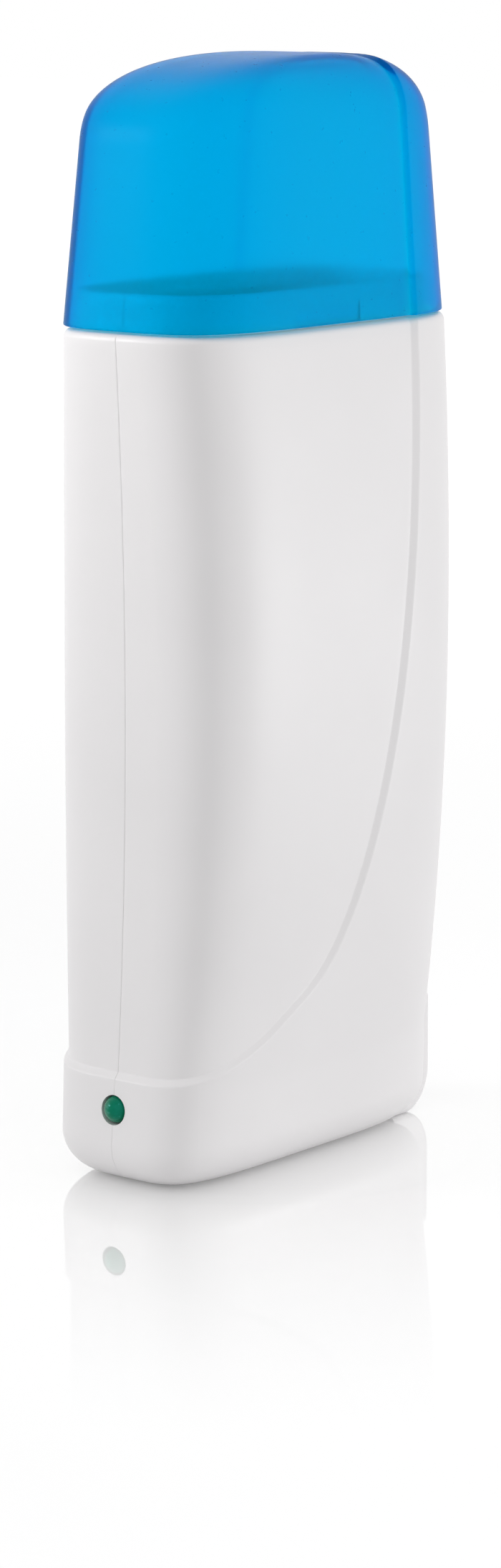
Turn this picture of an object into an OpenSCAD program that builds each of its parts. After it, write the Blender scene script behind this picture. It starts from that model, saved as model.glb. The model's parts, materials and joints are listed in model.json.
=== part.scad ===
// Hand-held heater for a roll-on wax cartridge: two clamshell halves around a heated well,
// a translucent cap that pulls straight off, and a two-pin mains inlet in the rear heel.
// Millimetres, +Z up. X is the thickness, -Y the front (pilot lamp), +Y the rear (heel).

/* [Base] */
// Furthest point of the base at the front
base_front_y = -43.48; // [-46:0.02:-42]
// Furthest point of the base at the rear, beside the heel
base_rear_y = 38.9; // [37.5:0.1:40]
// How far the base's sides stand out of the recessed panel at the ledge
base_side_step = 0.76; // [0.5:0.02:1]
// Radius of the bottom rounding
base_round = 8.6; // [6:0.1:9.5]
// How far the front of the base leans back per millimetre of height
base_front_lean = 0.085; // [0.05:0.005:0.11]
// How far the sides of the base open per millimetre of height
base_side_lean = 0.05; // [0.02:0.005:0.06]
// Height of the ledge where the recessed front panel starts
ledge_z = 22.8; // [21.5:0.1:26]

/* [Body] */
// Height of the shoulder that the cap stands over
shoulder_z = 162.2; // [150:0.1:175]
// Radius of the shoulder's outer edge
shoulder_round = 1.5; // [0.8:0.1:1.8]
// Half thickness of the body at its fullest
body_half_t = 23.2; // [22.9:0.1:24]
// Height at which the body is fullest
full_z = 98; // [94:1:102]
// Radius-like sweep of the side walls below the fullest height
side_sweep_low = 1550; // [1450:10:1800]
// Radius-like sweep of the side walls above the fullest height
side_sweep_high = 2000; // [1900:10:2400]
// Front line of the recessed panel at its most hollow
panel_front_y = -38.25; // [-39:0.05:-38]
// Height of the most hollow point of the front line
panel_mid_z = 94; // [88:1:100]
// Sweep of the front line
panel_sweep = 1960; // [1850:10:2300]
// Rear line of the body at its furthest point
spine_rear_y = 42.62; // [42.4:0.02:43]
// Height at which the rear line is furthest back
spine_high_z = 175; // [170:1:180]
// Sweep of the rear line
spine_sweep = 5880; // [5600:20:6400]
// How far the rear spine stands proud of the recessed panel
spine_step = 0.9; // [0.5:0.05:1.1]
// Wall of the two clamshell halves
wall = 2; // [1.8:0.1:2.2]
// Gap between the two halves at the seam
seam_gap = 0.1; // [0.06:0.02:0.16]

/* [Styling curve] */
// Distance from the front line to where the curve leaves the ledge
curve_front_in = 0.95; // [0.5:0.05:2]
// Where the curve is vertical near the top, measured front to rear
curve_end_y = 22.3; // [20:0.1:24]
// Height at which the curve becomes vertical
curve_top_z = 166.5; // [164:0.5:172]
// Fullness of the curve; 2 is an ellipse
curve_power = 2.33; // [2:0.01:2.6]

/* [Cap] */
// Lower edge of the cap
cap_z = 162.6; // [162.5:0.1:162.8]
// Height of the cap from its lower edge to its crown
cap_h = 49.75; // [46:0.01:56]
// How far the cap's sides overhang the spine at the shoulder
cap_side_lap = 0.16; // [0.1:0.01:0.5]
// How far the cap's front stands back from the body's front line
cap_front_set = 0.32; // [0.1:0.01:0.5]
// How far the cap's rear, without its rib, stands in from the body's panel
cap_rear_set = 1.09; // [0.9:0.01:1.3]
// Draft of the cap's sides, millimetres per millimetre
cap_side_draft = 0.074; // [0.05:0.002:0.09]
// Draft of the cap's front
cap_front_draft = 0.09; // [0.07:0.005:0.12]
// Draft of the cap's rear
cap_rear_draft = 0.068; // [0.05:0.002:0.1]
// Reach of the crown's slope from the front
crown_front = 42.4; // [40:0.1:43.5]
// Reach of the crown's slope from the rear
crown_rear = 27.6; // [24:0.1:28.5]
// Reach of the crown's rounding from the sides
crown_side = 8.3; // [7:0.1:9.5]
// Depth over which the crown rounds off at front and rear
crown_drop = 16; // [14:0.1:17]
// Depth over which the crown rounds off at the sides
crown_side_drop = 10.5; // [9:0.1:11.5]
// Wall of the cap
cap_wall = 1.7; // [1.6:0.1:1.9]
// How far the rear rib of the cap stands proud
rib_step = 0.9; // [0.5:0.05:1.1]
// Distance of the rib's front edge in front of the end of the curve
rib_set = 0.77; // [0.5:0.01:1]
// Gap between the cap's inside and the neck
cap_clear = 0.35; // [0.3:0.01:0.45]
// Length of the snap bead
bead_len = 19; // [14:0.5:22]
// Middle of the snap bead, front to rear
bead_y = -2.8; // [-4:0.1:2]
// Height of the snap bead
bead_h = 2.7; // [2:0.1:3]
// Distance of the snap bead above the cap's lower edge
bead_lift = 0.5; // [0.4:0.1:1]
// How far the snap bead stands out of the cap's inside
bead_step = 0.3; // [0.2:0.02:0.3]

/* [Neck and well] */
// How far the neck rises above the shoulder
neck_h = 7.3; // [6.5:0.1:8]
// Wall of the neck
neck_wall = 1.5; // [1.4:0.1:1.8]
// Distance from the well's side to the outside of the body
well_inset = 6.7; // [6.6:0.1:7.7]
// Distance between the centres of the well's round ends
well_flat = 21; // [16:0.5:22]
// Height of the well's floor, where the cartridge stands
well_floor_z = 66; // [62:0.5:72]
// Wall of the aluminium sleeve
sleeve_wall = 1.2; // [1:0.1:1.3]
// Thickness of the seat under the sleeve
seat_t = 4; // [3:0.5:5]
// Height of the seat's plug inside the sleeve
seat_plug_h = 4; // [3:0.5:6]
// Thickness of the deck around the mouth
deck_t = 2; // [1.6:0.1:2.2]
// Distance of the deck's top below the rim of the neck
deck_drop = 3.3; // [3:0.1:4]
// How far the deck's rim sits in the groove of the neck
deck_hold = 0.5; // [0.3:0.1:0.6]
// Height of the lip that keeps the deck around the sleeve
deck_lip_h = 3; // [2:0.5:5]
// Wall of that lip
deck_lip_t = 0.6; // [0.5:0.1:0.7]
// Thickness of the webs that carry the seat
web_t = 2; // [1.6:0.1:2.4]
// Length of the webs that carry the seat, front to rear
web_len = 34; // [28:1:36]
// Depth of the gussets under the webs
gusset_h = 8; // [6:0.5:10]

/* [Heater] */
// Middle height of the two heater packs
heater_z = 98; // [90:1:105]
// Width of a heater stone
stone_w = 16; // [12:1:18]
// Height of a heater stone
stone_h = 30; // [24:1:34]
// Thickness of a heater stone
stone_t = 1.6; // [1.4:0.1:1.7]
// Thickness of a contact plate
contact_t = 0.3; // [0.2:0.05:0.35]
// Thickness of the insulating film
film_t = 0.15; // [0.1:0.01:0.2]
// Thickness of the leaf spring
spring_t = 0.3; // [0.2:0.05:0.4]
// Length of the leaf spring
spring_len = 34; // [26:1:38]
// Width of the leaf spring
spring_w = 12; // [8:1:14]
// Gap kept between pieces that touch
touch = 0.02; // [0.01:0.01:0.04]
// Width of the solder tag of a contact plate
tag_w = 4; // [3:0.5:5]
// Length of the solder tag of a contact plate
tag_h = 8; // [6:0.5:10]
// How far a tag stands beyond the middle of its half of the stone
tag_in = 0.5; // [0.2:0.1:0.8]
// How far a contact plate reaches past the stone above and below
contact_over = 1; // [0.5:0.1:1.5]
// How far the film reaches past a contact plate above and below
film_over = 0.5; // [0.3:0.1:1]
// Gap between the stone's edge and the film beside it
film_side = 0.5; // [0.3:0.1:0.8]

/* [Thermal fuse] */
// Diameter of the fuse
fuse_d = 4; // [3.5:0.1:4.2]
// Length of the fuse's barrel
fuse_len = 11; // [9:0.5:13]
// Diameter of the fuse's leads
fuse_lead_d = 1; // [0.8:0.1:1.1]
// Length of each lead of the fuse
fuse_lead_len = 12; // [8:0.5:14]
// Middle height of the fuse
fuse_z = 98; // [90:1:104]
// Wall of the insulating tube around the fuse
tube_wall = 0.3; // [0.2:0.05:0.35]
// Length of the insulating tube
tube_len = 20; // [16:0.5:24]
// Wall of the channel that holds the fuse
channel_wall = 1; // [0.8:0.1:1.1]
// Top of the channel that holds the fuse
channel_top_z = 124; // [118:1:130]

/* [Pilot lamp and board] */
// Height of the pilot lamp's axis
lamp_z = 14.9; // [14:0.1:16]
// Diameter of the pilot lamp
lamp_d = 5.1; // [4.8:0.1:5.3]
// Diameter of the lamp's hole in the shell
lamp_hole_d = 5.8; // [5.6:0.1:6.2]
// Diameter of the lamp's flange behind the wall
lamp_flange_d = 6.8; // [6.6:0.1:7.4]
// Thickness of the lamp's flange
lamp_flange_t = 1; // [0.8:0.1:1.2]
// How far the dome stands out of the base
lamp_reach = 1.28; // [1:0.02:1.6]
// Distance between the lamp's leads
lead_pitch = 2.54; // [2.5:0.02:2.6]
// Width of a lamp lead
lead_w = 0.5; // [0.4:0.05:0.6]
// Width of the circuit board
board_w = 26; // [22:0.5:27]
// Height of the circuit board
board_h = 30; // [27:0.5:32]
// Thickness of the circuit board
board_t = 1.6; // [1.4:0.1:1.7]
// Lower edge of the circuit board
board_z = 6; // [5.5:0.1:7]
// Distance from the furthest front of the base to the circuit board
board_set = 10.5; // [10:0.1:11.5]
// Gap between the board and its guide ribs
board_clear = 0.15; // [0.1:0.01:0.25]
// Thickness of the guide ribs and of the inlet's cradle
guide_t = 1.4; // [1.2:0.1:1.6]
// How far the guides reach over the board's edge
guide_bite = 2.5; // [2:0.1:3]
// Thickness of the resistor's and the diode's leads
axial_lead_d = 0.7; // [0.5:0.1:0.8]
// Length of each lead beside its component
axial_lead_len = 2; // [1.5:0.1:3]
// Height of the resistor above the board's lower edge
resistor_up = 21; // [19:0.5:23]
// Height of the diode above the board's lower edge
diode_up = 15; // [13:0.5:16]
// Diameter of the dropper resistor
resistor_d = 3.6; // [3:0.1:4]
// Length of the dropper resistor
resistor_len = 10; // [8:0.5:12]
// Diameter of the rectifier diode
diode_d = 2.7; // [2.4:0.1:3]
// Length of the rectifier diode
diode_len = 5.2; // [4.5:0.1:6]

/* [Inlet] */
// How far the heel reaches behind the base
heel_reach = 5; // [4.9:0.05:7]
// Half width of the heel
heel_half_w = 11.6; // [11.5:0.1:13]
// Height of the heel
heel_h = 24.5; // [22:0.1:27]
// Radius of the heel's upright edges
heel_round = 2.6; // [2:0.1:3]
// Thickness of the heel's rear wall around the inlet
heel_back_t = 2.8; // [2.6:0.1:3.2]
// Radius of the heel's upper rear edge
heel_top_round = 1.5; // [0.8:0.1:1.8]
// Height of the inlet's axis
inlet_z = 11.6; // [11.2:0.1:12]
// Distance between the two contact pins
pin_pitch = 8.6; // [8.5:0.1:8.8]
// Diameter of a contact pin
pin_d = 2.36; // [2.3:0.02:2.4]
// Free length of a contact pin in the socket
pin_len = 8.4; // [8:0.1:9]
// Diameter of the pins' collars in the inlet's back wall
collar_d = 3; // [2.8:0.1:3.4]
// Depth of the socket
socket_depth = 10.5; // [10:0.1:11]
// Diameter of a lobe of the socket
lobe_d = 7.8; // [7.6:0.1:8]
// Distance between the two lobes of the socket
lobe_pitch = 7.4; // [7:0.1:7.6]
// Wall of the inlet around its socket
inlet_wall = 1.2; // [1:0.1:1.3]
// Thickness of the inlet's back wall
inlet_back_t = 3; // [2.5:0.1:3.5]
// How far the flange stands out around the inlet
flange_step = 0.5; // [0.4:0.1:0.6]
// Thickness of the inlet's flange
flange_t = 1.6; // [1.4:0.1:2]
// Length of the tag behind the inlet
pin_tag_len = 5; // [4:0.5:6]
// Thickness of that tag
pin_tag_t = 0.8; // [0.6:0.1:1]
// Height of that tag
pin_tag_w = 2.2; // [1.8:0.1:2.6]

/* [Screws] */
// Diameter of the case screws
screw_d = 3; // [2.8:0.1:3.2]
// Length of the case screws under the head
screw_len = 16; // [14:0.5:18]
// Diameter of the screw heads
screw_head_d = 5.4; // [5:0.1:5.6]
// Height of the screw heads
screw_head_h = 2; // [1.8:0.1:2.2]
// Outer diameter of the bosses on the half with the heads
boss_d = 8.4; // [8:0.1:8.6]
// Outer diameter of the bosses on the half with the threads
pilot_boss_d = 6.6; // [6:0.1:7]
// Distance of the head's seat from the seam
seat_from_seam = 8; // [7:0.5:9]
// Bore around a head
head_bore_d = 6; // [5.9:0.1:6.2]
// Clearance around a shank, on the diameter
screw_clear = 0.1; // [0.06:0.02:0.16]
// Distance from the shoulder down to the upper screws
screw_drop = 16; // [14:0.5:20]
// Height of the lower screws
screw_low_z = 46; // [44:0.5:47]
// Distance from the front line to the front screws
screw_front_in = 5.25; // [4.85:0.05:5.65]
// Distance from the rear line to the rear screws
screw_rear_in = 8.4; // [8.1:0.1:8.8]
// How much further in the lower screws sit, front
screw_low_front = 1; // [0.8:0.1:1.4]
// How much further in the lower screws sit, rear
screw_low_rear = 2; // [1.6:0.1:2.4]
// Length of the cross in a screw's head
cross_len = 3; // [2.6:0.1:3.4]
// Width of the cross in a screw's head
cross_w = 0.6; // [0.5:0.1:0.8]

/* [Wires] */
// Diameter of the insulated wires
wire_d = 1.6; // [1.4:0.1:1.8]

/* [Hidden] */

WHITE = [0.89, 0.88, 0.885];
CAP_BLUE = [0, 0.6, 0.84, 0.7];
OVER = 1;             // how far a cutter passes the face that it cuts
ARC_FN = 48;          // facets of a round that stays a true cylinder in the solids
SIDE_POWER = 4.5;     // fullness of the body's section across its thickness, at the base
SIDE_POWER_TOP = 3.6; // and at the shoulder
DEPTH_POWER = 4.6;    // fullness of the section from front to rear
CAP_SIDE_POWER = 3.49;
CAP_DEPTH_POWER = 4.14;
CROWN_POWER = 2.58;   // fullness of the crown's rounding at front and rear
CROWN_SIDE_POWER = 1.85;
HALF_STEPS = 20;      // facets around one half of a section
LIP_SLOPE = 1;        // height over which the ledge slopes back
SIGN = [1, -1];       // right half, left half
FACET_SLACK = 0.1;    // room for the facets of a curved wall

base_half_t = body_half(ledge_z) + base_side_step - (ledge_z - base_round) * base_side_lean;
cap_half_t = body_half(shoulder_z) + spine_step + cap_side_lap;
cap_front_y = panel_section(shoulder_z)[1] + cap_front_set;
cap_rear_y = panel_section(shoulder_z)[2] - cap_rear_set;
curve_start_y = panel_front_y + curve_front_in;
rib_y = curve_end_y - rib_set;
neck_top_z = shoulder_z + neck_h;
cap_top_z = cap_z + cap_h;
deck_z = neck_top_z - deck_drop - deck_t;
groove_depth = deck_hold + 0.2;
groove_clear = 0.1;
well_r = body_half_t - well_inset;
sleeve_r = well_r + sleeve_wall;
sleeve_bottom_z = well_floor_z - seat_plug_h;
seat_bottom_z = sleeve_bottom_z - seat_t;
fuse_bore_r = fuse_d / 2 + tube_wall + 0.06;
fuse_y = well_flat / 2 + sleeve_r + fuse_bore_r + 0.1;
heel_rear_y = base_rear_y + heel_reach;
heel_front_y = base_rear_y - 2 * wall - heel_reach * 2;
inlet_face_y = heel_rear_y - 0.4;
inlet_back_y = inlet_face_y - socket_depth - inlet_back_t;
flange_rear_y = heel_rear_y - heel_back_t - touch - flange_t;
pin_rear_y = inlet_back_y - pin_tag_len;
screw_top_z = shoulder_z - screw_drop;
screw_front_y = panel_front_y + screw_front_in;
screw_rear_y = spine_rear_y - screw_rear_in;
screw_places = [
    [screw_front_y, screw_top_z], [screw_rear_y, screw_top_z],
    [screw_front_y + screw_low_front, screw_low_z], [screw_rear_y - screw_low_rear, screw_low_z],
];
board_y = base_front_y + board_set;
board_back_y = board_y + board_t;
board_top_z = board_z + board_h;
stack_x = sleeve_r + touch;
film_x = stack_x + 2 * film_t + 2 * contact_t + stone_t + 4 * touch;
tag_z = heater_z - stone_h / 2 - contact_over - tag_h;

// ---- sections: [half thickness, front y, rear y, side power, depth power] ----

function blend(a, b, s) = a + (b - a) * s;
function signed_pow(v, e) = sign(v) * pow(abs(v), e);
function grown(s, g) = [s[0] + g, s[1] - g, s[2] + g, s[3], s[4]];

function side_power(z) = blend(SIDE_POWER, SIDE_POWER_TOP, pow(z / shoulder_z, 2));

function body_half(z) =
    body_half_t - pow(z - full_z, 2) / (z < full_z ? side_sweep_low : side_sweep_high);

function panel_section(z) = [
    body_half(z),
    panel_front_y - pow(z - panel_mid_z, 2) / panel_sweep,
    spine_rear_y - spine_step - pow(z - spine_high_z, 2) / spine_sweep,
    side_power(z),
    DEPTH_POWER
];

function base_section(z) = [
    base_half_t + (z - base_round) * base_side_lean,
    base_front_y + (z - base_round) * base_front_lean,
    base_rear_y,
    side_power(z),
    DEPTH_POWER
];

function crown_inset(z, reach, drop, power) =
    let (s = min(1, max(0, (z - cap_top_z + drop) / drop)))
    reach * (1 - pow(1 - pow(s, power), 1 / power));

// the cap's main surface, moved inwards by w with its crown lowered by as much
function cap_section(z, w, w_top) =
    let (u = z + w_top, d = crown_drop - w, e = crown_side_drop - w)
    [
        cap_half_t - w - (z - cap_z) * cap_side_draft
            - crown_inset(u, crown_side - w, e, CROWN_SIDE_POWER),
        cap_front_y + w + (z - cap_z) * cap_front_draft
            + crown_inset(u, crown_front - w, d, CROWN_POWER),
        cap_rear_y - w - (z - cap_z) * cap_rear_draft
            - crown_inset(u, crown_rear - w, d, CROWN_POWER),
        CAP_SIDE_POWER,
        CAP_DEPTH_POWER
    ];

function neck_section(z) = grown(cap_section(z, cap_wall, 0), -cap_clear);

function section_point(s, a) = [
    s[0] * signed_pow(cos(a), 2 / s[3]),
    (s[1] + s[2]) / 2 + (s[2] - s[1]) / 2 * signed_pow(sin(a), 2 / s[4])
];

// one half of a section, from front to rear, flat against the seam at x = gap
function half_ring(s, z, gap) = [
    for (i = [0:HALF_STEPS])
        let (p = section_point(s, -90 + 180 * i / HALF_STEPS))
        [max(p[0], gap), p[1], z]
];

// a whole section, with no point on the seam
function full_ring(s, z) = [
    for (i = [0:2 * HALF_STEPS - 1])
        let (p = section_point(s, -90 + 180 * (i + 0.5) / HALF_STEPS))
        [p[0], p[1], z]
];

module loft(rings) {
    p = len(rings[0]);
    m = len(rings);
    polyhedron(
        points = [for (r = rings) each r],
        faces = concat(
            [[for (i = [0:p - 1]) i]],
            [for (j = [0:m - 2], i = [0:p - 1]) [j * p + i, (j + 1) * p + i, (j + 1) * p + (i + 1) % p]],
            [for (j = [0:m - 2], i = [0:p - 1]) [j * p + i, (j + 1) * p + (i + 1) % p, j * p + (i + 1) % p]],
            [[for (i = [0:p - 1]) m * p - 1 - i]]
        )
    );
}

// heights between two levels, closer together near the first
function levels(from, to, count, power) =
    [for (i = [0:count]) from + (to - from) * pow(i / count, power)];

// ---- outer surfaces of one half ----

base_angles = [for (i = [0:5]) 18 * i];

function rounded_base_rings(w, gap) = [
    for (a = base_angles)
        let (z = base_round - (base_round - w) * cos(a), g = -base_round + (base_round - w) * sin(a))
        half_ring(grown(base_section(max(z, 2)), g), z, gap)
];

shoulder_angles = [30, 60, 90];

function shoulder_rings(g, gap) = [
    for (a = shoulder_angles)
        let (z = shoulder_z - shoulder_round * (1 - sin(a)))
        half_ring(grown(panel_section(z), g - shoulder_round * (1 - cos(a))), z, gap)
];

module main_half() {
    gap = seam_gap / 2;
    loft(concat(
        rounded_base_rings(0, gap),
        [half_ring(base_section(ledge_z), ledge_z, gap)],
        [for (z = levels(ledge_z + LIP_SLOPE, shoulder_z - shoulder_round, 16, 1.4))
            half_ring(panel_section(z), z, gap)],
        shoulder_rings(0, gap),
        [for (z = [shoulder_z + 0.01, neck_top_z]) half_ring(neck_section(z), z, gap)]
    ));
}

function curve_y(z) =
    let (s = max(0, (curve_top_z - z) / (curve_top_z - ledge_z)))
    curve_start_y + (curve_end_y - curve_start_y) * pow(1 - pow(s, curve_power), 1 / curve_power);

// everything behind and below the styling curve
module behind_curve() {
    far = 70;
    low = ledge_z / 2;
    rotate([90, 0, 90])
        translate([0, 0, -OVER])
            linear_extrude(far)
                polygon(concat(
                    [[-far, low], [-far, ledge_z]],
                    [for (z = levels(ledge_z, curve_top_z, 24, 1.8)) [curve_y(z), z]],
                    [[far, curve_top_z], [far, low]]
                ));
}

module spine_half() {
    gap = seam_gap / 2;
    low = ledge_z - 7;
    intersection() {
        loft(concat(
            [for (z = levels(low, shoulder_z - shoulder_round, 16, 1.2))
                half_ring(grown(panel_section(z), spine_step), z, gap)],
            shoulder_rings(spine_step, gap)
        ));
        behind_curve();
    }
}

// the inside of the body, moved outwards by g
module cavity(g) {
    loft(concat(
        [for (a = base_angles)
            let (r = base_round - wall + g, z = base_round - r * cos(a))
            full_ring(grown(base_section(max(z, 2)), r * sin(a) - base_round), z)],
        [full_ring(grown(base_section(ledge_z), g - wall), ledge_z)],
        [for (z = levels(ledge_z + LIP_SLOPE, shoulder_z - shoulder_round - wall, 8, 1.2))
            full_ring(grown(panel_section(z), g - wall), z)],
        [for (z = [shoulder_z - 1, neck_top_z + OVER])
            full_ring(grown(neck_section(z), g - neck_wall), z)]
    ));
}

// ---- the heel around the inlet ----

module rounded_rect(half_w, y0, y1, r) {
    translate([-half_w, y0])
        square([2 * half_w, y1 - y0 - r]);
    translate([-half_w + r, y0])
        square([2 * (half_w - r), y1 - y0]);
    for (s = SIGN)
        translate([s * (half_w - r), y1 - r])
            circle(r, $fn = ARC_FN);
}

module heel_side(w) {
    r = base_round - w;
    t = heel_top_round;
    y1 = heel_rear_y - w;
    y0 = heel_front_y;
    z1 = heel_h - w;
    translate([y0, base_round])
        square([y1 - y0, z1 - base_round - t]);
    translate([y0, w])
        square([y1 - y0 - r, z1 - w]);
    translate([y0, z1 - t])
        square([y1 - y0 - t, t]);
    translate([y1 - r, base_round])
        circle(r, $fn = ARC_FN);
    translate([y1 - t, z1 - t])
        circle(t, $fn = ARC_FN);
}

module heel(w) {
    intersection() {
        linear_extrude(heel_h)
            rounded_rect(heel_half_w - w, heel_front_y, heel_rear_y - w, heel_round - w / 2);
        rotate([90, 0, 90])
            translate([0, 0, -heel_half_w])
                linear_extrude(2 * heel_half_w)
                    heel_side(w);
    }
}

module inlet_outline(g) {
    for (s = SIGN)
        translate([s * lobe_pitch / 2, inlet_z])
            circle(lobe_d / 2 + g, $fn = ARC_FN);
    translate([-lobe_pitch / 2, inlet_z - lobe_d / 2 - g])
        square([lobe_pitch, lobe_d + 2 * g]);
}

module along_y(y0, y1) {
    translate([0, y1, 0])
        rotate([90, 0, 0])
            linear_extrude(y1 - y0)
                children();
}

// ---- what the halves hold inside ----

module board_guides() {
    foot = 2;
    reach = body_half_t / 2;
    for (y = [board_y - board_clear - guide_t, board_back_y + board_clear])
        translate([board_w / 2 - guide_bite, y, board_z - foot])
            cube([reach, guide_t, board_h - 2 * foot]);
    translate([board_w / 2 - guide_bite, board_y - 1, board_z - foot])
        cube([reach, board_t + 2, foot - board_clear]);
}

module seat_web() {
    x0 = sleeve_r / 2;
    translate([x0, -web_len / 2, seat_bottom_z - touch - web_t])
        cube([body_half_t, web_len, web_t]);
    for (y = [-web_len / 2 + web_t, 0, web_len / 2 - 2 * web_t])
        translate([x0 + 2 * web_t, y, seat_bottom_z - touch - gusset_h])
            cube([body_half_t, web_t, gusset_h]);
}

// ribs of the heel that hold the inlet's flange against the rear wall
module inlet_cradle() {
    half_w = lobe_pitch / 2 + lobe_d / 2;
    half_h = lobe_d / 2 + inlet_wall + touch;
    translate([seam_gap / 2, flange_rear_y - touch - guide_t, 0])
        cube([half_w, guide_t, inlet_z - half_h]);
    translate([seam_gap / 2, flange_rear_y - touch - guide_t, inlet_z + half_h])
        cube([half_w, guide_t, heel_h - inlet_z - half_h]);
}

module half_inside() {
    board_guides();
    seat_web();
}

module x_cylinder(y, z, x0, x1, d) {
    translate([x0, y, z])
        rotate([0, 90, 0])
            cylinder(h = x1 - x0, d = d, $fn = ARC_FN);
}

module shell_blank() {
    difference() {
        union() {
            main_half();
            spine_half();
            intersection() {
                heel(0);
                translate([seam_gap / 2, 0, 0])
                    cube([40, 60, 40]);
            }
        }
        cavity(0);
        intersection() {
            heel(wall);
            translate([-heel_half_w, 0, 0])
                cube([2 * heel_half_w, heel_rear_y - heel_back_t, heel_h]);
        }
    }
    intersection() {
        heel(wall / 3);
        inlet_cradle();
    }
}

module shell_cuts() {
    translate([0, base_front_y + 6, lamp_z])
        rotate([90, 0, 0])
            cylinder(h = 10, d = lamp_hole_d, $fn = ARC_FN);
    along_y(heel_rear_y - heel_back_t - OVER, heel_rear_y + OVER)
        inlet_outline(inlet_wall + 0.1);
    // groove for the rim of the deck
    loft([for (z = [deck_z - groove_clear, deck_z + deck_t + groove_clear])
        full_ring(grown(neck_section(z), groove_depth - neck_wall), z)]);
    // slot for the snap bead
    translate([neck_section(cap_z)[0] - 0.5, bead_y - bead_len / 2 - 0.5, cap_z + bead_lift - 0.4])
        cube([5, bead_len + 1, bead_h + 0.8]);
}

module shell_right() {
    color(WHITE)
        difference() {
            union() {
                shell_blank();
                intersection() {
                    cavity(wall / 3);
                    union() {
                        half_inside();
                        for (p = screw_places)
                            x_cylinder(p[0], p[1], seam_gap / 2, 40, pilot_boss_d);
                    }
                }
            }
            shell_cuts();
            for (p = screw_places)
                x_cylinder(p[0], p[1], -OVER, screw_len - seat_from_seam + 1, screw_d + screw_clear);
        }
}

module shell_left() {
    color(WHITE)
        mirror([1, 0, 0])
            difference() {
                union() {
                    shell_blank();
                    intersection() {
                        cavity(wall / 3);
                        union() {
                            half_inside();
                            for (p = screw_places)
                                x_cylinder(p[0], p[1], seam_gap / 2, 40, boss_d);
                        }
                    }
                }
                shell_cuts();
                for (p = screw_places) {
                    x_cylinder(p[0], p[1], -OVER, 40, screw_d + screw_clear);
                    x_cylinder(p[0], p[1], seat_from_seam, 40, head_bore_d);
                }
            }
}

// ---- cap ----

function crown_levels(top) = [
    for (a = [0:10:90]) top - crown_drop * (1 - sin(a))
];

module cap_solid(w, w_top, low) {
    top = cap_top_z - w_top;
    loft(concat(
        [full_ring(cap_section(low, w, w_top), low)],
        [full_ring(cap_section(cap_z + cap_h / 3, w, w_top), cap_z + cap_h / 3)],
        [for (z = crown_levels(top)) full_ring(cap_section(z, w, w_top), z)]
    ));
}

module cap() {
    color(CAP_BLUE)
        union() {
            difference() {
                union() {
                    cap_solid(0, 0, cap_z);
                    intersection() {
                        cap_solid(-rib_step, -rib_step / 2, cap_z);
                        translate([-40, rib_y, cap_z - OVER])
                            cube([80, 40, cap_h + 5]);
                    }
                }
                cap_solid(cap_wall, cap_wall, cap_z - OVER);
            }
            inner = cap_section(cap_z + bead_lift, cap_wall, 0)[0];
            for (s = SIGN)
                translate([s * (inner - bead_step) - (s < 0 ? 1 : 0), bead_y - bead_len / 2, cap_z + bead_lift])
                    cube([1, bead_len, bead_h]);
        }
}

// ---- well ----

module stadium(r) {
    for (s = SIGN)
        translate([0, s * well_flat / 2])
            circle(r, $fn = ARC_FN);
    translate([-r, -well_flat / 2])
        square([2 * r, well_flat]);
}

module well_deck() {
    color(WHITE) {
        difference() {
            union() {
                loft([for (z = [deck_z, deck_z + deck_t])
                    full_ring(grown(neck_section(z), deck_hold - neck_wall), z)]);
                translate([0, 0, deck_z - deck_lip_h])
                    linear_extrude(deck_lip_h + deck_t / 2)
                        stadium(sleeve_r + touch + deck_lip_t);
            }
            translate([0, 0, deck_z - deck_lip_h - OVER])
                linear_extrude(deck_lip_h + OVER)
                    stadium(sleeve_r + touch);
            translate([0, 0, deck_z - OVER])
                linear_extrude(deck_t + 2 * OVER)
                    stadium(well_r);
        }
    }
}

module heating_sleeve() {
    color("silver")
        difference() {
            union() {
                translate([0, 0, sleeve_bottom_z])
                    linear_extrude(deck_z - touch - sleeve_bottom_z)
                        stadium(sleeve_r);
                translate([0, fuse_y, sleeve_bottom_z])
                    cylinder(h = channel_top_z - sleeve_bottom_z, r = fuse_bore_r + channel_wall,
                             $fn = ARC_FN);
            }
            translate([0, 0, sleeve_bottom_z - OVER])
                linear_extrude(deck_z - sleeve_bottom_z + 2 * OVER)
                    stadium(well_r);
            translate([0, fuse_y, sleeve_bottom_z - OVER])
                cylinder(h = channel_top_z, r = fuse_bore_r, $fn = ARC_FN);
        }
}

module cartridge_seat() {
    color([0.3, 0.3, 0.32]) {
        translate([0, 0, seat_bottom_z])
            linear_extrude(seat_t - touch)
                stadium(sleeve_r);
        translate([0, 0, sleeve_bottom_z - 1])
            linear_extrude(seat_plug_h + 1)
                stadium(well_r - touch - 0.08);
    }
}

// ---- heater packs, drawn on the right and mirrored for the left ----

module plate(x, t, w, h, z_mid) {
    translate([x, -w / 2, z_mid - h / 2])
        cube([t, w, h]);
}

module mirrored(s) {
    if (s > 0)
        children();
    else
        mirror([1, 0, 0])
            children();
}

module heater_stone(s) {
    color([0.35, 0.35, 0.36])
        mirrored(s)
            plate(stack_x + film_t + contact_t + 2 * touch, stone_t, stone_w, stone_h, heater_z);
}

module contact(x, tag_y) {
    union() {
        plate(x, contact_t, stone_w, stone_h + 2 * contact_over, heater_z);
        translate([x, tag_y - tag_w / 2, tag_z])
            cube([contact_t, tag_w, tag_h + 1]);
    }
}

module heater_contacts(s) {
    color([0.8, 0.66, 0.35])
        mirrored(s) {
            contact(stack_x + film_t + touch, -stone_w / 4 - tag_in);
            contact(stack_x + film_t + contact_t + stone_t + 3 * touch, stone_w / 4 + tag_in);
        }
}

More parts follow.
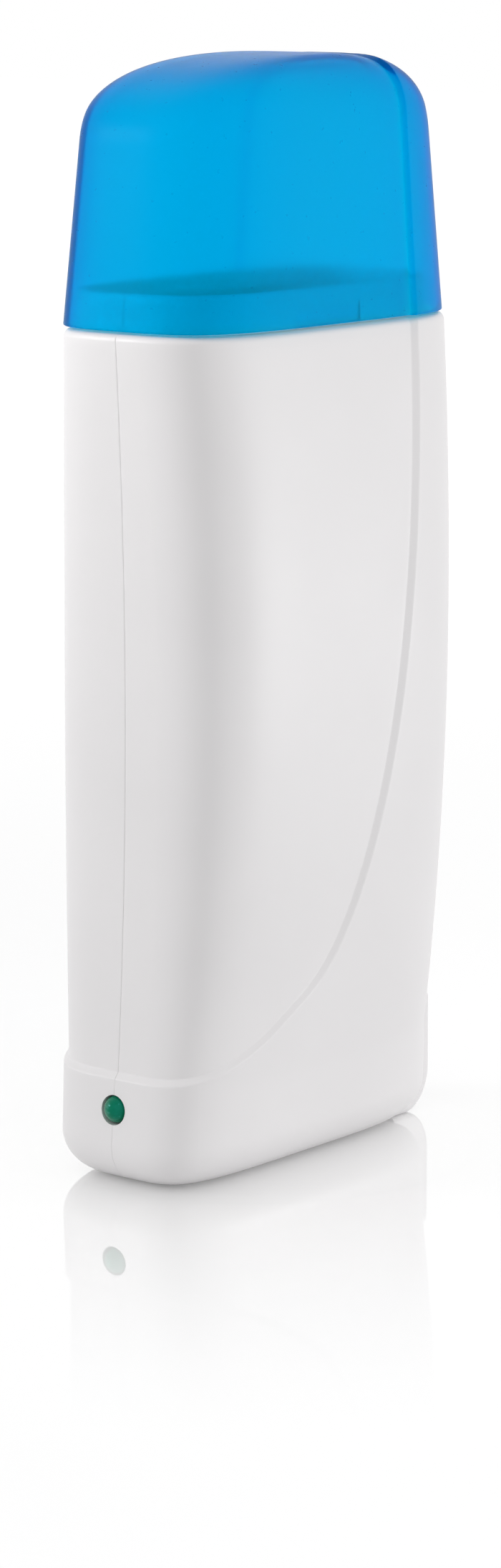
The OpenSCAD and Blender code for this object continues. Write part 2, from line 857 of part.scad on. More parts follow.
module heater_film(s) {
    w = stone_w + 2 * film_side;
    h = stone_h + 2 * contact_over + 2 * film_over;
    t = film_x - stack_x;
    color([0.8, 0.5, 0.15])
        mirrored(s)
            difference() {
                plate(stack_x, t, w + 2 * film_t, h, heater_z);
                plate(stack_x + film_t, t - 2 * film_t, w, h + 2, heater_z);
            }
}

module heater_spring(s) {
    // an arc that bears on the film at its ends and on the shell's wall at its middle
    x0 = film_x + touch;
    x1 = body_half(heater_z) - wall - FACET_SLACK;
    rise = x1 - x0 - spring_t;
    r = (pow(spring_len / 2, 2) + rise * rise) / (2 * rise);
    color([0.7, 0.7, 0.72])
        mirrored(s)
            intersection() {
                translate([x1 - r, spring_w / 2, heater_z])
                    rotate([90, 0, 0])
                        difference() {
                            cylinder(h = spring_w, r = r, $fn = 360);
                            translate([0, 0, -OVER])
                                cylinder(h = spring_w + 2 * OVER, r = r - spring_t, $fn = 360);
                        }
                translate([x0, -spring_w / 2 - OVER, heater_z - spring_len / 2])
                    cube([body_half_t, spring_w + 2 * OVER, spring_len]);
            }
}

// ---- fuse ----

module thermal_fuse() {
    color([0.75, 0.75, 0.78])
        translate([0, fuse_y, fuse_z]) {
            cylinder(h = fuse_len, d = fuse_d, center = true, $fn = ARC_FN);
            cylinder(h = fuse_len + 2 * fuse_lead_len, d = fuse_lead_d, center = true, $fn = ARC_FN);
        }
}

module fuse_tube() {
    color([0.85, 0.83, 0.75])
        translate([0, fuse_y, fuse_z])
            difference() {
                cylinder(h = tube_len, r = fuse_bore_r - 0.02, center = true, $fn = ARC_FN);
                cylinder(h = tube_len + OVER, r = fuse_bore_r - tube_wall, center = true, $fn = ARC_FN);
            }
}

// ---- lamp and board ----

lamp_tip_y = base_front_y + (lamp_z - base_round) * base_front_lean - lamp_reach;
lamp_flange_y = lamp_tip_y + lamp_reach + wall + FACET_SLACK + lamp_flange_d / 2 * base_front_lean;

module pilot_lamp() {
    r = lamp_d / 2;
    color([0, 0.45, 0.32])
        translate([0, 0, lamp_z]) {
            rotate([90, 0, 0]) {
                translate([0, 0, -lamp_flange_y])
                    cylinder(h = lamp_flange_y - lamp_tip_y - r, r = r, $fn = ARC_FN);
                translate([0, 0, -lamp_flange_y - lamp_flange_t])
                    cylinder(h = lamp_flange_t, d = lamp_flange_d, $fn = ARC_FN);
            }
            translate([0, lamp_tip_y + r, 0])
                sphere(r, $fn = ARC_FN);
            for (s = SIGN)
                translate([s * lead_pitch / 2 - lead_w / 2, lamp_flange_y, -lead_w / 2])
                    cube([lead_w, board_back_y + 1.2 - lamp_flange_y, lead_w]);
        }
}

module circuit_board() {
    color([0.2, 0.45, 0.25])
        difference() {
            translate([-board_w / 2, board_y, board_z])
                cube([board_w, board_t, board_h]);
            for (s = SIGN)
                translate([s * lead_pitch / 2, board_back_y + OVER, lamp_z])
                    rotate([90, 0, 0])
                        cylinder(h = board_t + 2 * OVER, d = lead_w * sqrt(2) + 0.2, $fn = ARC_FN);
        }
}

module axial_part(z, d, len, reach) {
    y = board_back_y + d / 2 + touch;
    union() {
        x_cylinder(y, z, -len / 2, len / 2, d);
        x_cylinder(y, z, -reach, reach, axial_lead_d);
        for (s = SIGN)
            translate([
                s * (reach - axial_lead_d / 2) - axial_lead_d / 2,
                board_back_y + touch,
                z - axial_lead_d / 2
            ])
                cube([axial_lead_d, d / 2, axial_lead_d]);
    }
}

module dropper_resistor() {
    color([0.75, 0.7, 0.55])
        axial_part(board_z + resistor_up, resistor_d, resistor_len, resistor_len / 2 + axial_lead_len);
}

module rectifier_diode() {
    color([0.12, 0.12, 0.12])
        axial_part(board_z + diode_up, diode_d, diode_len, diode_len / 2 + axial_lead_len);
}

// ---- inlet ----

module inlet_body() {
    color([0.09, 0.09, 0.09])
        difference() {
            union() {
                along_y(inlet_back_y, inlet_face_y)
                    inlet_outline(inlet_wall);
                along_y(flange_rear_y, flange_rear_y + flange_t)
                    inlet_outline(inlet_wall + flange_step);
            }
            along_y(inlet_face_y - socket_depth, inlet_face_y + OVER)
                inlet_outline(0);
            for (s = SIGN)
                translate([s * pin_pitch / 2, inlet_face_y, inlet_z])
                    rotate([90, 0, 0])
                        cylinder(h = socket_depth + inlet_back_t + OVER, d = collar_d + 2 * touch, $fn = ARC_FN);
        }
}

module inlet_pins() {
    floor_y = inlet_face_y - socket_depth;
    color([0.8, 0.78, 0.7])
        for (s = SIGN)
            translate([s * pin_pitch / 2, 0, inlet_z]) {
                translate([0, floor_y + pin_len, 0])
                    rotate([90, 0, 0])
                        cylinder(h = pin_len + OVER, d = pin_d, $fn = ARC_FN);
                translate([0, floor_y, 0])
                    rotate([90, 0, 0])
                        cylinder(h = inlet_back_t, d = collar_d, $fn = ARC_FN);
                translate([-pin_tag_t / 2, pin_rear_y, -pin_tag_w / 2])
                    cube([pin_tag_t, inlet_back_y - pin_rear_y, pin_tag_w]);
            }
}

// ---- wires ----

WIRE_SIDES = 8;
WIRE_STEPS = 3;
LEAD = 1.6; // spacing of the points that keep a wire's ends straight

function unit(v) = v / norm(v);

// a smooth curve through the points
function smooth(p) = [
    for (i = [0:len(p) - 2], k = [0:WIRE_STEPS - 1])
        let (
            a = p[max(i - 1, 0)], b = p[i], c = p[i + 1], d = p[min(i + 2, len(p) - 1)],
            t = k / WIRE_STEPS
        )
        (2 * b + (c - a) * t + (2 * a - 5 * b + 4 * c - d) * t * t
            + (3 * b - a - 3 * c + d) * t * t * t) / 2,
    p[len(p) - 1]
];

// a wire from one end to the other through the points between; it leaves each end straight,
// and across is a direction that it never takes
module wire(from, from_dir, points, to, to_dir, across) {
    path = smooth(concat(
        [for (i = [0:2]) from + from_dir * LEAD * i],
        points,
        [for (i = [2:-1:0]) to + to_dir * LEAD * i]
    ));
    n = len(path);
    loft([
        for (i = [0:n - 1])
            let (
                t = unit(path[min(i + 1, n - 1)] - path[max(i - 1, 0)]),
                u = unit(cross(across, t)),
                v = cross(t, u)
            )
            [for (k = [0:WIRE_SIDES - 1])
                path[i] + (u * cos(360 * k / WIRE_SIDES) + v * sin(360 * k / WIRE_SIDES)) * wire_d / 2]
    ]);
}

half_pin = pin_pitch / 2;
board_pad_y = board_back_y + touch;
fuse_low_z = fuse_z - fuse_len / 2 - fuse_lead_len;
fuse_high_z = fuse_z + fuse_len / 2 + fuse_lead_len;

module live_wire() {
    color([0.45, 0.25, 0.12])
        wire(
            [half_pin, pin_rear_y - touch, inlet_z], [0, -1, 0],
            [[half_pin, pin_rear_y - 3 * LEAD, inlet_z + 5 * wire_d], [2 * wire_d, fuse_y - 7 * wire_d, 36],
                [wire_d / 2, fuse_y - 4 * wire_d, seat_bottom_z - 5 * wire_d],
                [0, fuse_y - wire_d / 3, seat_bottom_z], [0, fuse_y, well_floor_z - wire_d]],
            [0, fuse_y, fuse_low_z - touch], [0, 0, -1],
            [1, 0, 0]
        );
}

module fused_wire() {
    y = fuse_y + 1;
    side_x = 5 * wire_d;
    color([0.45, 0.25, 0.12])
        wire(
            [0, fuse_y, fuse_high_z + touch], [0, 0, 1],
            [[wire_d / 3, y, channel_top_z + wire_d], [0.5 * side_x, y + wire_d / 4, channel_top_z + 2 * wire_d],
                [0.9 * side_x, y, channel_top_z - wire_d], [0.95 * side_x, y, fuse_z + fuse_len],
                [0.95 * side_x, y, fuse_z - fuse_len], [0.95 * side_x, fuse_y, well_floor_z - wire_d],
                [side_x, fuse_y - 4 * wire_d, seat_bottom_z - 3 * wire_d], [side_x, fuse_y - 13 * wire_d, 40],
                [side_x, board_pad_y + 13 * wire_d, board_z + 20], [side_x, board_pad_y + 5 * wire_d, board_z + 11]],
            [side_x, board_pad_y, board_z + 10], [0, 1, 0],
            [1, 0.2, 0]
        );
}

module neutral_wire() {
    side_x = 5 * wire_d;
    color([0.2, 0.35, 0.7])
        wire(
            [-half_pin, pin_rear_y - touch, inlet_z], [0, -1, 0],
            [[-half_pin - wire_d / 2, pin_rear_y - 5 * LEAD, inlet_z - 2 * wire_d],
                [-side_x + wire_d / 2, -4, inlet_z - 3 * wire_d], [-side_x, board_pad_y + 7 * wire_d, board_z + 3]],
            [-side_x, board_pad_y, board_z + 6], [0, 1, 0],
            [1, 0, 0]
        );
}

module heater_wires(s) {
    inner_x = sleeve_r + wire_d / 2 + 0.1;
    outer_x = film_x - film_t - contact_t - 0.35;
    tag_y = stone_w / 4 + tag_in;
    pad_x = board_w / 2 - 3;
    color([0.85, 0.85, 0.82])
        mirrored(s) {
            wire(
                [pad_x, board_pad_y, board_top_z - 1.8], [0, 1, 0],
                [[pad_x + wire_d, board_pad_y + 3 * wire_d, board_top_z + 4],
                    [inner_x - 2 * wire_d, board_pad_y + 4.3 * wire_d, seat_bottom_z - 6],
                    [inner_x - wire_d / 2, -sleeve_r - 1.4 * wire_d, well_floor_z - 5],
                    [inner_x, -well_flat / 2 - wire_d / 3, well_floor_z + wire_d / 2]],
                [inner_x, -tag_y, tag_z - touch], [0, 0, -1],
                [0.3, 1, 1]
            );
            wire(
                [pad_x, board_pad_y, board_top_z - 5], [0, 1, 0],
                [[pad_x + 2 * wire_d, board_pad_y + 4.6 * wire_d, board_top_z],
                    [inner_x - 1.6 * wire_d, board_pad_y + 5.5 * wire_d, seat_bottom_z - 10],
                    [inner_x - 0.8 * wire_d, -sleeve_r - 1.7 * wire_d, seat_bottom_z - 2],
                    [inner_x, -sleeve_r + 1.4 * wire_d, seat_bottom_z + 3],
                    [outer_x, -2, seat_bottom_z + 5.5]],
                [outer_x, tag_y, tag_z - touch], [0, 0, -1],
                [0.3, 1, 1]
            );
        }
}

// ---- screws ----

module case_screws() {
    color("silver")
        for (p = screw_places) {
            x_cylinder(p[0], p[1], -seat_from_seam - OVER, screw_len - seat_from_seam, screw_d);
            difference() {
                x_cylinder(p[0], p[1], -seat_from_seam - screw_head_h, -seat_from_seam - touch, screw_head_d);
                for (a = [0, 90])
                    translate([-seat_from_seam - screw_head_h - OVER, p[0], p[1]])
                        rotate([a, 0, 0])
                            translate([0, -cross_len / 2, -cross_w / 2])
                                cube([OVER + screw_head_h / 2, cross_len, cross_w]);
            }
        }
}

shell_right();
shell_left();
cap();
well_deck();
heating_sleeve();
cartridge_seat();
heater_stone(1);  // heater_stone_right
heater_stone(-1);  // heater_stone_left
heater_contacts(1);  // heater_contacts_right
heater_contacts(-1);  // heater_contacts_left
heater_film(1);  // heater_film_right
heater_film(-1);  // heater_film_left
heater_spring(1);  // heater_spring_right
heater_spring(-1);  // heater_spring_left
thermal_fuse();
fuse_tube();
pilot_lamp();
circuit_board();
dropper_resistor();
rectifier_diode();
inlet_body();
inlet_pins();
live_wire();
fused_wire();
neutral_wire();
heater_wires(1);  // heater_wires_right
heater_wires(-1);  // heater_wires_left
case_screws();
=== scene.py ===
"""Visual model of the roll-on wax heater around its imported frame. Lengths are millimetres until a mesh
is made; the frame and every object are in metres. +Z is up, X the thickness, -Y the front."""

import json
import math

import bmesh
import bpy
import numpy as np
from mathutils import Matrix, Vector


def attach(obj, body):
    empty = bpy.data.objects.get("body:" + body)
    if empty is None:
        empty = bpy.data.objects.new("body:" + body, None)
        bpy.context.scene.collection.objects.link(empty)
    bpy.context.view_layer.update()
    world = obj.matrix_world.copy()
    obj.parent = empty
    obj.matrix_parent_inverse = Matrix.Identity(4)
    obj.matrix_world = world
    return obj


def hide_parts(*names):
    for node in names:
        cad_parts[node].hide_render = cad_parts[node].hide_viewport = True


MM = 0.001
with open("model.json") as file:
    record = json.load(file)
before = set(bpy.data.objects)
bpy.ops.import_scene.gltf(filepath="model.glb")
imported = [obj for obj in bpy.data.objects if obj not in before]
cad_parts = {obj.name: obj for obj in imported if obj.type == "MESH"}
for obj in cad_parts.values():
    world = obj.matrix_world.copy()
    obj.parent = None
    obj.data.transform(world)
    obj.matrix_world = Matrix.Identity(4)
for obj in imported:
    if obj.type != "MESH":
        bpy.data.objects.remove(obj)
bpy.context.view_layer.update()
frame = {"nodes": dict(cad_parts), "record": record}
scene = bpy.context.scene
scene.view_settings.view_transform = "Standard"

# ---- camera: the photograph's viewpoint in metres, its frame in pixels, its sensor in millimetres ----

CAMERA_AZIMUTH = math.radians(38.8)
CAMERA_PITCH = math.radians(10.83)
CAMERA_DISTANCE = 0.89
CAMERA_HEIGHT = 0.242
CAMERA_BACK = 0.00028
IMAGE_HEIGHT = 2190
FOCAL_PIXELS = 6500
SHIFT_PIXELS = -2
SENSOR = 36


def make_camera():
    data = bpy.data.cameras.new("camera")
    data.sensor_fit = "VERTICAL"
    data.sensor_height = SENSOR
    data.lens = FOCAL_PIXELS * SENSOR / IMAGE_HEIGHT
    data.shift_x = SHIFT_PIXELS / IMAGE_HEIGHT
    cam = bpy.data.objects.new("camera", data)
    cam.location = (
        CAMERA_DISTANCE * math.sin(CAMERA_AZIMUTH),
        -CAMERA_DISTANCE * math.cos(CAMERA_AZIMUTH) - CAMERA_BACK,
        CAMERA_HEIGHT,
    )
    cam.rotation_euler = (math.pi / 2 - CAMERA_PITCH, 0, CAMERA_AZIMUTH)
    scene.collection.objects.link(cam)
    scene.camera = cam


make_camera()

# ---- sizes, after the part's source; the base's front is fitted closer to the photograph ----

# base: front, rear and the round underneath, how its faces lean, and its step past the side
BASE_FRONT, BASE_REAR, BASE_ROUND = -42.92, 38.9, 8.6
BASE_FRONT_LEAN, BASE_SIDE_LEAN, BASE_SIDE_STEP = 0.085, 0.05, 0.76
# below this height the base's section no longer narrows
BASE_LOW_Z = 2
LEDGE_Z, SHOULDER_Z, SHOULDER_ROUND = 22.8, 162.2, 1.5
# body: half thickness, the height where it is fullest, and its sweep below and above
BODY_HALF, FULL_Z, SWEEP_LOW, SWEEP_HIGH = 23.18, 98, 1550, 2000
PANEL_FRONT, PANEL_MID_Z, PANEL_SWEEP = -38.25, 94, 1960
SPINE_REAR, SPINE_HIGH_Z, SPINE_SWEEP, STEP = 42.62, 175, 5880, 0.9
# GAP is from the seam plane to the edge of each half
WALL, NECK_WALL, GAP = 2, 1.5, 0.022
# where the styling curve meets the shoulder
CURVE_END = 22.3
# cap: foot and height, how its foot stands to the body's section at the shoulder, and drafts
CAP_Z, CAP_H = 162.6, 49.75
CAP_SIDE_SET, CAP_FRONT_SET, CAP_REAR_SET = 0.16, 0.32, 1.09
CAP_SIDE_DRAFT, CAP_FRONT_DRAFT, CAP_REAR_DRAFT = 0.074, 0.09, 0.068
CROWN_FRONT, CROWN_REAR, CROWN_SIDE = 42.4, 27.6, 8.3
CROWN_DROP, CROWN_SIDE_DROP = 16, 10.5
CAP_WALL, RIB_Y, CAP_CLEAR = 1.7, CURVE_END - 0.77, 0.35
CAP_FOOT_ROUND = 0.35
# snap bead inside the cap, and its slot's clearances in the neck
BEAD_LEN, BEAD_Y, BEAD_H, BEAD_LIFT, BEAD_STEP = 19, -2.8, 2.7, 0.5, 0.3
BEAD_ROOT, SLOT_CLEAR, SLOT_CLEAR_Z = 0.7, 0.5, 0.4
NECK_TOP, NECK_FOOT, NECK_ROUND = SHOULDER_Z + 7.3, 0.3, 0.4
DECK_Z, DECK_T, DECK_CLEAR, DECK_GROOVE = SHOULDER_Z + 2, 2, 0.1, 0.7
# pilot lamp, its flange behind the wall, its leads, and the board they end behind
LAMP_Z, LAMP_D, LAMP_HOLE_D, LAMP_REACH = 14.9, 5.35, 5.8, 1.3
FLANGE_R, FLANGE_T, FLANGE_CLEAR, FLANGE_BEVEL = 3.4, 1, 0.1, 0.15
LEAD_X, LEAD_HALF, LEAD_PAST = 1.27, 0.25, 1.2
BOARD_BACK, BOARD_T = 10.5, 1.6
HEEL_FRONT, HEEL_REAR, HEEL_HALF, HEEL_H = 31, BASE_REAR + 5, 11.6, 24.5
HEEL_ROUND, HEEL_BACK_T, HEEL_TOP_ROUND, HEEL_FOOT_ROUND = 2.6, 2.8, 1.5, 1.2
INLET_Z, LOBE_D, LOBE_PITCH, INLET_WALL, INLET_CLEAR = 11.6, 7.8, 7.4, 1.2, 0.1
SCREWS = [(-33, 146.2), (34.22, 146.2), (-32, 46), (32.22, 46)]
HEAD_BORE_D, BOSS_D, HEAD_SEAT = 6, 8.4, 8
# exponents of the sections' rounded outlines
SIDE_POWER, SIDE_POWER_TOP, DEPTH_POWER = 4.5, 3.6, 4.6
CAP_SIDE_POWER, CAP_DEPTH_POWER = 3.49, 4.14
CROWN_POWER, CROWN_SIDE_POWER = 2.58, 1.85


def smooth01(u):
    u = np.clip(u, 0, 1)
    return u * u * u * (u * (6 * u - 15) + 10)


def side_power(z):
    return SIDE_POWER + (SIDE_POWER_TOP - SIDE_POWER) * (z / SHOULDER_Z) ** 2


def body_half(z):
    return BODY_HALF - (z - FULL_Z) ** 2 / (SWEEP_LOW if z < FULL_Z else SWEEP_HIGH)


def panel_section(z, g=0.0):
    """Section of the body inside the styling step, grown by g: half thickness, front, rear, powers."""
    return (
        body_half(z) + g,
        PANEL_FRONT - (z - PANEL_MID_Z) ** 2 / PANEL_SWEEP - g,
        SPINE_REAR - STEP - (z - SPINE_HIGH_Z) ** 2 / SPINE_SWEEP + g,
        side_power(z),
        DEPTH_POWER,
    )


BASE_HALF = body_half(LEDGE_Z) + BASE_SIDE_STEP - (LEDGE_Z - BASE_ROUND) * BASE_SIDE_LEAN


def base_section(z, g=0.0):
    """Section of the base, grown by g."""
    return (
        BASE_HALF + (z - BASE_ROUND) * BASE_SIDE_LEAN + g,
        BASE_FRONT + (z - BASE_ROUND) * BASE_FRONT_LEAN - g,
        BASE_REAR + g,
        side_power(z),
        DEPTH_POWER,
    )


CAP_HALF = body_half(SHOULDER_Z) + STEP + CAP_SIDE_SET
CAP_FRONT = panel_section(SHOULDER_Z)[1] + CAP_FRONT_SET
CAP_REAR = panel_section(SHOULDER_Z)[2] - CAP_REAR_SET
CAP_TOP = CAP_Z + CAP_H


def crown_inset(z, reach, drop, power):
    s = min(1.0, max(0.0, (z - CAP_TOP + drop) / drop))
    return reach * (1 - (1 - s**power) ** (1 / power))


def cap_section(z, w=0.0, w_top=0.0, g=0.0):
    """Section of the cap, w inside its outer face and w_top below its crown, grown by g."""
    u, d, e = z + w_top, CROWN_DROP - w, CROWN_SIDE_DROP - w
    side_in = crown_inset(u, CROWN_SIDE - w, e, CROWN_SIDE_POWER)
    front_in = crown_inset(u, CROWN_FRONT - w, d, CROWN_POWER)
    rear_in = crown_inset(u, CROWN_REAR - w, d, CROWN_POWER)
    return (
        CAP_HALF - w - (z - CAP_Z) * CAP_SIDE_DRAFT - side_in + g,
        CAP_FRONT + w + (z - CAP_Z) * CAP_FRONT_DRAFT + front_in - g,
        CAP_REAR - w - (z - CAP_Z) * CAP_REAR_DRAFT - rear_in + g,
        CAP_SIDE_POWER,
        CAP_DEPTH_POWER,
    )


def neck_section(z, g=0.0):
    return cap_section(z, CAP_WALL, 0, g - CAP_CLEAR)


# ---- sections as fine half rings ----

# the ends of a half ring are sampled along x out to END_SHARE, its side along y between them
END_SHARE, END_POINTS, SIDE_POINTS = 0.9, 90, 360


def unit_half(n, m):
    """(x, y) factors around one half of a section, front to rear."""
    end = (1 - END_SHARE**n) ** (1 / m)
    x = np.linspace(0, END_SHARE, END_POINTS)
    y = np.linspace(-end, end, SIDE_POINTS)[1:-1]
    front = np.column_stack([x, -((1 - x**n) ** (1 / m))])
    side = np.column_stack([(1 - np.abs(y) ** m) ** (1 / n), y])
    rear = np.column_stack([x[::-1], (1 - x[::-1] ** n) ** (1 / m)])
    return np.vstack([front, side, rear])


def section_xy(s, f):
    middle, depth = (s[1] + s[2]) / 2, (s[2] - s[1]) / 2
    return np.column_stack([s[0] * f[:, 0], middle + depth * f[:, 1]])


def along(xy):
    return np.concatenate([[0], np.cumsum(np.hypot(*np.diff(xy, axis=0).T))])


def side_at(xy, s, y):
    """Arc length at which the side of the half ring passes y."""
    mask = xy[:, 0] > 0.6 * s[0]
    return float(np.interp(y, xy[mask, 1], along(xy)[mask]))


def resample(points, pos, cols):
    """Points at the lengths cols of a line whose own points lie at the lengths pos."""
    return np.column_stack([np.interp(cols, pos, points[:, k]) for k in (0, 1)])


def at_height(xy, z):
    return np.column_stack([xy, np.full(len(xy), z)])


# lengths next to a seam edge, then three zones: front, across the step, rear
SEAM_STEPS = np.array([0, 0.07, 0.16, 0.3])
FRONT_COLS, BAND_COLS, REAR_COLS = 64, 12, 56


def column_lengths(total, low, high):
    """Lengths of a half ring's columns, with the middle zone between low and high."""
    edge = SEAM_STEPS[-1]
    front = edge + (low - edge) * np.linspace(0, 1, FRONT_COLS)[1:]
    band = low + (high - low) * np.linspace(0, 1, BAND_COLS)[1:]
    rear = high + (total - edge - high) * np.linspace(0, 1, REAR_COLS)[1:]
    return np.concatenate([SEAM_STEPS, front, band, rear, total - SEAM_STEPS[:-1][::-1]])


# ---- the styling curve ----

# the band that the step slopes over, and the share of it that each end is rounded over
BAND_W = 1.5
BAND_ROUND_IN, BAND_ROUND_OUT = 0.14, 0.3
EDGE_CONTROL = [(-41.1, 21.35), (4.4, 30), (-29.8, 50.4), (11.1, -0.8), (22.9, 98.6), (22.9, 166)]
EDGE_POINTS = 500
# the ledge runs straight on to here, in front of the object
EDGE_FAR_Y = -60
# the band's columns start no further forward than this, and stay at least this far apart
SIDE_START, BAND_LEAST = PANEL_FRONT + 0.95, 0.8
# half the length that the columns of the neck's middle zone take up
NECK_BAND = 0.5


def step_curve():
    """The edge as a Bezier curve from the front ledge up to the shoulder, as (y, z)."""
    t = np.linspace(0, 1, EDGE_POINTS)[:, None]
    pts = [np.array(p, float) for p in EDGE_CONTROL]
    while len(pts) > 1:
        pts = [p * (1 - t) + q * t for p, q in zip(pts[:-1], pts[1:])]
    return np.vstack([[[EDGE_FAR_Y, pts[0][0, 1]]], pts[0]])


def ramp(u):
    """A straight slope from 0 to 1 with rounded ends, tighter at the outer one."""
    a, b = BAND_ROUND_IN, BAND_ROUND_OUT
    u = np.clip(u, 0, 1)
    slope = 1 / (1 - a / 2 - b / 2)
    low = slope * u * u / (2 * a)
    mid = slope * (u - a / 2)
    high = 1 - slope * (1 - u) ** 2 / (2 * b)
    return np.where(u < a, low, np.where(u > 1 - b, high, mid))


EDGE = step_curve()
EDGE_T = np.gradient(EDGE[1:], axis=0)
EDGE_T /= np.linalg.norm(EDGE_T, axis=1)[:, None]
EDGE_N = np.column_stack([EDGE_T[:, 1], -EDGE_T[:, 0]])


def edge_y(z, off):
    """Where the edge moved by off towards the spine passes the height z."""
    p = EDGE[1:] + EDGE_N * off
    order = np.argsort(p[:, 1])
    return float(np.interp(z, p[order, 1], p[order, 0]))


def edge_distance(y, z):
    """Signed distance to the edge, positive on the spine's and the base's side."""
    a, b = EDGE[:-1], EDGE[1:]
    ab = b - a
    p = np.column_stack([y, z])[:, None, :]
    t = np.clip(((p - a) * ab).sum(2) / (ab * ab).sum(1), 0, 1)
    d = p - (a + t[:, :, None] * ab)
    k = np.hypot(d[:, :, 0], d[:, :, 1]).argmin(1)
    i = np.arange(len(k))
    cross = ab[k, 0] * d[i, k, 1] - ab[k, 1] * d[i, k, 0]
    return -np.sign(cross) * np.hypot(d[i, k, 0], d[i, k, 1])


def body_factors(z):
    """Section factors of the body's columns at height z, with the middle ones along the band."""
    f = unit_half(side_power(z), DEPTH_POWER)
    s = panel_section(z)
    panel = section_xy(s, f)
    low = max(edge_y(z, -BAND_W / 2), SIDE_START)
    top = max(edge_y(z, BAND_W / 2), SIDE_START + BAND_LEAST)
    pos = along(panel)
    cols = column_lengths(pos[-1], side_at(panel, s, low), side_at(panel, s, top))
    return resample(f, pos, cols)


# the base's proud face passes into the spine's over this height, and over this depth of the side
LEDGE_RISE = 7
SIDE_FROM, SIDE_OVER = -41, 12


def body_row(z, inset=0.0):
    """One outer half ring of the body at height z, moved in by inset."""
    f = body_factors(z)
    panel = section_xy(panel_section(z, -inset), f)
    spine = section_xy(panel_section(z, STEP - inset), f)
    base = section_xy(base_section(z, -inset), f)
    on_side = smooth01((panel[:, 1] - SIDE_FROM) / SIDE_OVER)
    rise = smooth01((z - LEDGE_Z + LEDGE_RISE) / LEDGE_RISE)
    proud = base + (spine - base) * (rise * on_side)[:, None]
    share = ramp(edge_distance(panel[:, 1], np.full(len(f), z)) / BAND_W + 0.5)
    return seam_edge(at_height(panel + (proud - panel) * share[:, None], z))


def base_round_row(a):
    """One outer half ring of the round under the base, at the angle a from its lowest point."""
    z = BASE_ROUND * (1 - math.cos(a))
    inset = BASE_ROUND * (1 - math.sin(a))
    section = base_section(max(z, BASE_LOW_Z), -inset)
    return seam_edge(at_height(section_xy(section, body_factors(BASE_ROUND)), z))


# how far the columns next to the seam dip in; below the ledge the dip fades to SEAM_FAINT of it
SEAM_DIP = np.array([0.07, 0.025, 0.005])
SEAM_FAINT, SEAM_FADE = 0.25, 2
COLUMN_GAP = 0.02


def keep_apart(p):
    """Keeps the columns next to the seam off it and clear of each other."""
    p[:, 0] = np.maximum(p[:, 0], GAP)
    for k in range(1, len(SEAM_DIP) + 1):
        p[k, 0] = max(p[k, 0], p[k - 1, 0] + COLUMN_GAP)
        p[-1 - k, 0] = max(p[-1 - k, 0], p[-k, 0] + COLUMN_GAP)
    return p


def seam_edge(p):
    """Rounds the two ends of a half ring where it meets the other half."""
    n = len(SEAM_DIP)
    above = smooth01((p[0, 2] - EDGE[0, 1] + SEAM_FADE / 2) / SEAM_FADE)
    dip = SEAM_DIP * (SEAM_FAINT + (1 - SEAM_FAINT) * above)
    p[:n, 1] += dip
    p[-n:, 1] -= dip[::-1]
    keep_apart(p)
    p[0, 0] = p[-1, 0] = GAP
    return p


def neck_row(z, g, seam=True):
    """One half ring of the neck, grown by g, with its ends rounded at the seam or flat."""
    s = neck_section(z, g)
    ring = section_xy(s, unit_half(CAP_SIDE_POWER, CAP_DEPTH_POWER))
    low, high = side_at(ring, s, CURVE_END - NECK_BAND), side_at(ring, s, CURVE_END + NECK_BAND)
    pos = along(ring)
    p = at_height(resample(ring, pos, column_lengths(pos[-1], low, high)), z)
    return seam_edge(p) if seam else keep_apart(p)


def inner_row(z, section):
    """One inner half ring of the body, with its columns opposite the outer ones."""
    ring = section_xy(section, unit_half(section[3], section[4]))
    y = min(max(edge_y(z, 0), SIDE_START), CURVE_END)
    low, high = side_at(ring, section, y), side_at(ring, section, y + BAND_W)
    pos = along(ring)
    return keep_apart(at_height(resample(ring, pos, column_lengths(pos[-1], low, high)), z))


# how much narrower than its ring the innermost of the closing rows is
FLAT_PULL = 0.15
OUTER_CLOSING, INNER_CLOSING = 6, 4


def closing_rows(ring, count):
    """Rows that close the flat end of a half shell, from the seam plane out to its ring."""
    rows = []
    middle = (ring[0, 1] + ring[-1, 1]) / 2
    for k in range(count):
        share = k / count
        p = ring.copy()
        p[:, 0] = GAP + (ring[:, 0] - GAP) * share
        p[:, 1] = middle + (ring[:, 1] - middle) * (1 - FLAT_PULL + FLAT_PULL * share)
        rows.append(p)
    rows[0][:, 1] = np.maximum.accumulate(rows[0][:, 1])
    return rows


def outer_body_rows():
    """From the middle of the underside out, up the body and over the shoulder."""
    rows = closing_rows(base_round_row(0), OUTER_CLOSING)
    rows += [base_round_row(a) for a in np.radians(np.arange(0, 90, 5))]
    # closest where the ledge crosses the front and bends up the side
    heights = np.concatenate([
        np.arange(BASE_ROUND, 19.8, 0.9),
        np.arange(19.8, 26, 0.1),
        26 + 6 * np.linspace(0, 1, 28)[1:] ** 1.2,
        np.arange(32.6, 60, 0.8),
        np.linspace(60.5, SHOULDER_Z - SHOULDER_ROUND, 60),
    ])
    rows += [body_row(z) for z in heights]
    for a in np.radians([12, 24, 36, 48, 60, 72, 81, 90]):
        inset = SHOULDER_ROUND * (1 - math.cos(a))
        rows.append(body_row(SHOULDER_Z - SHOULDER_ROUND * (1 - math.sin(a)), inset))
    return rows


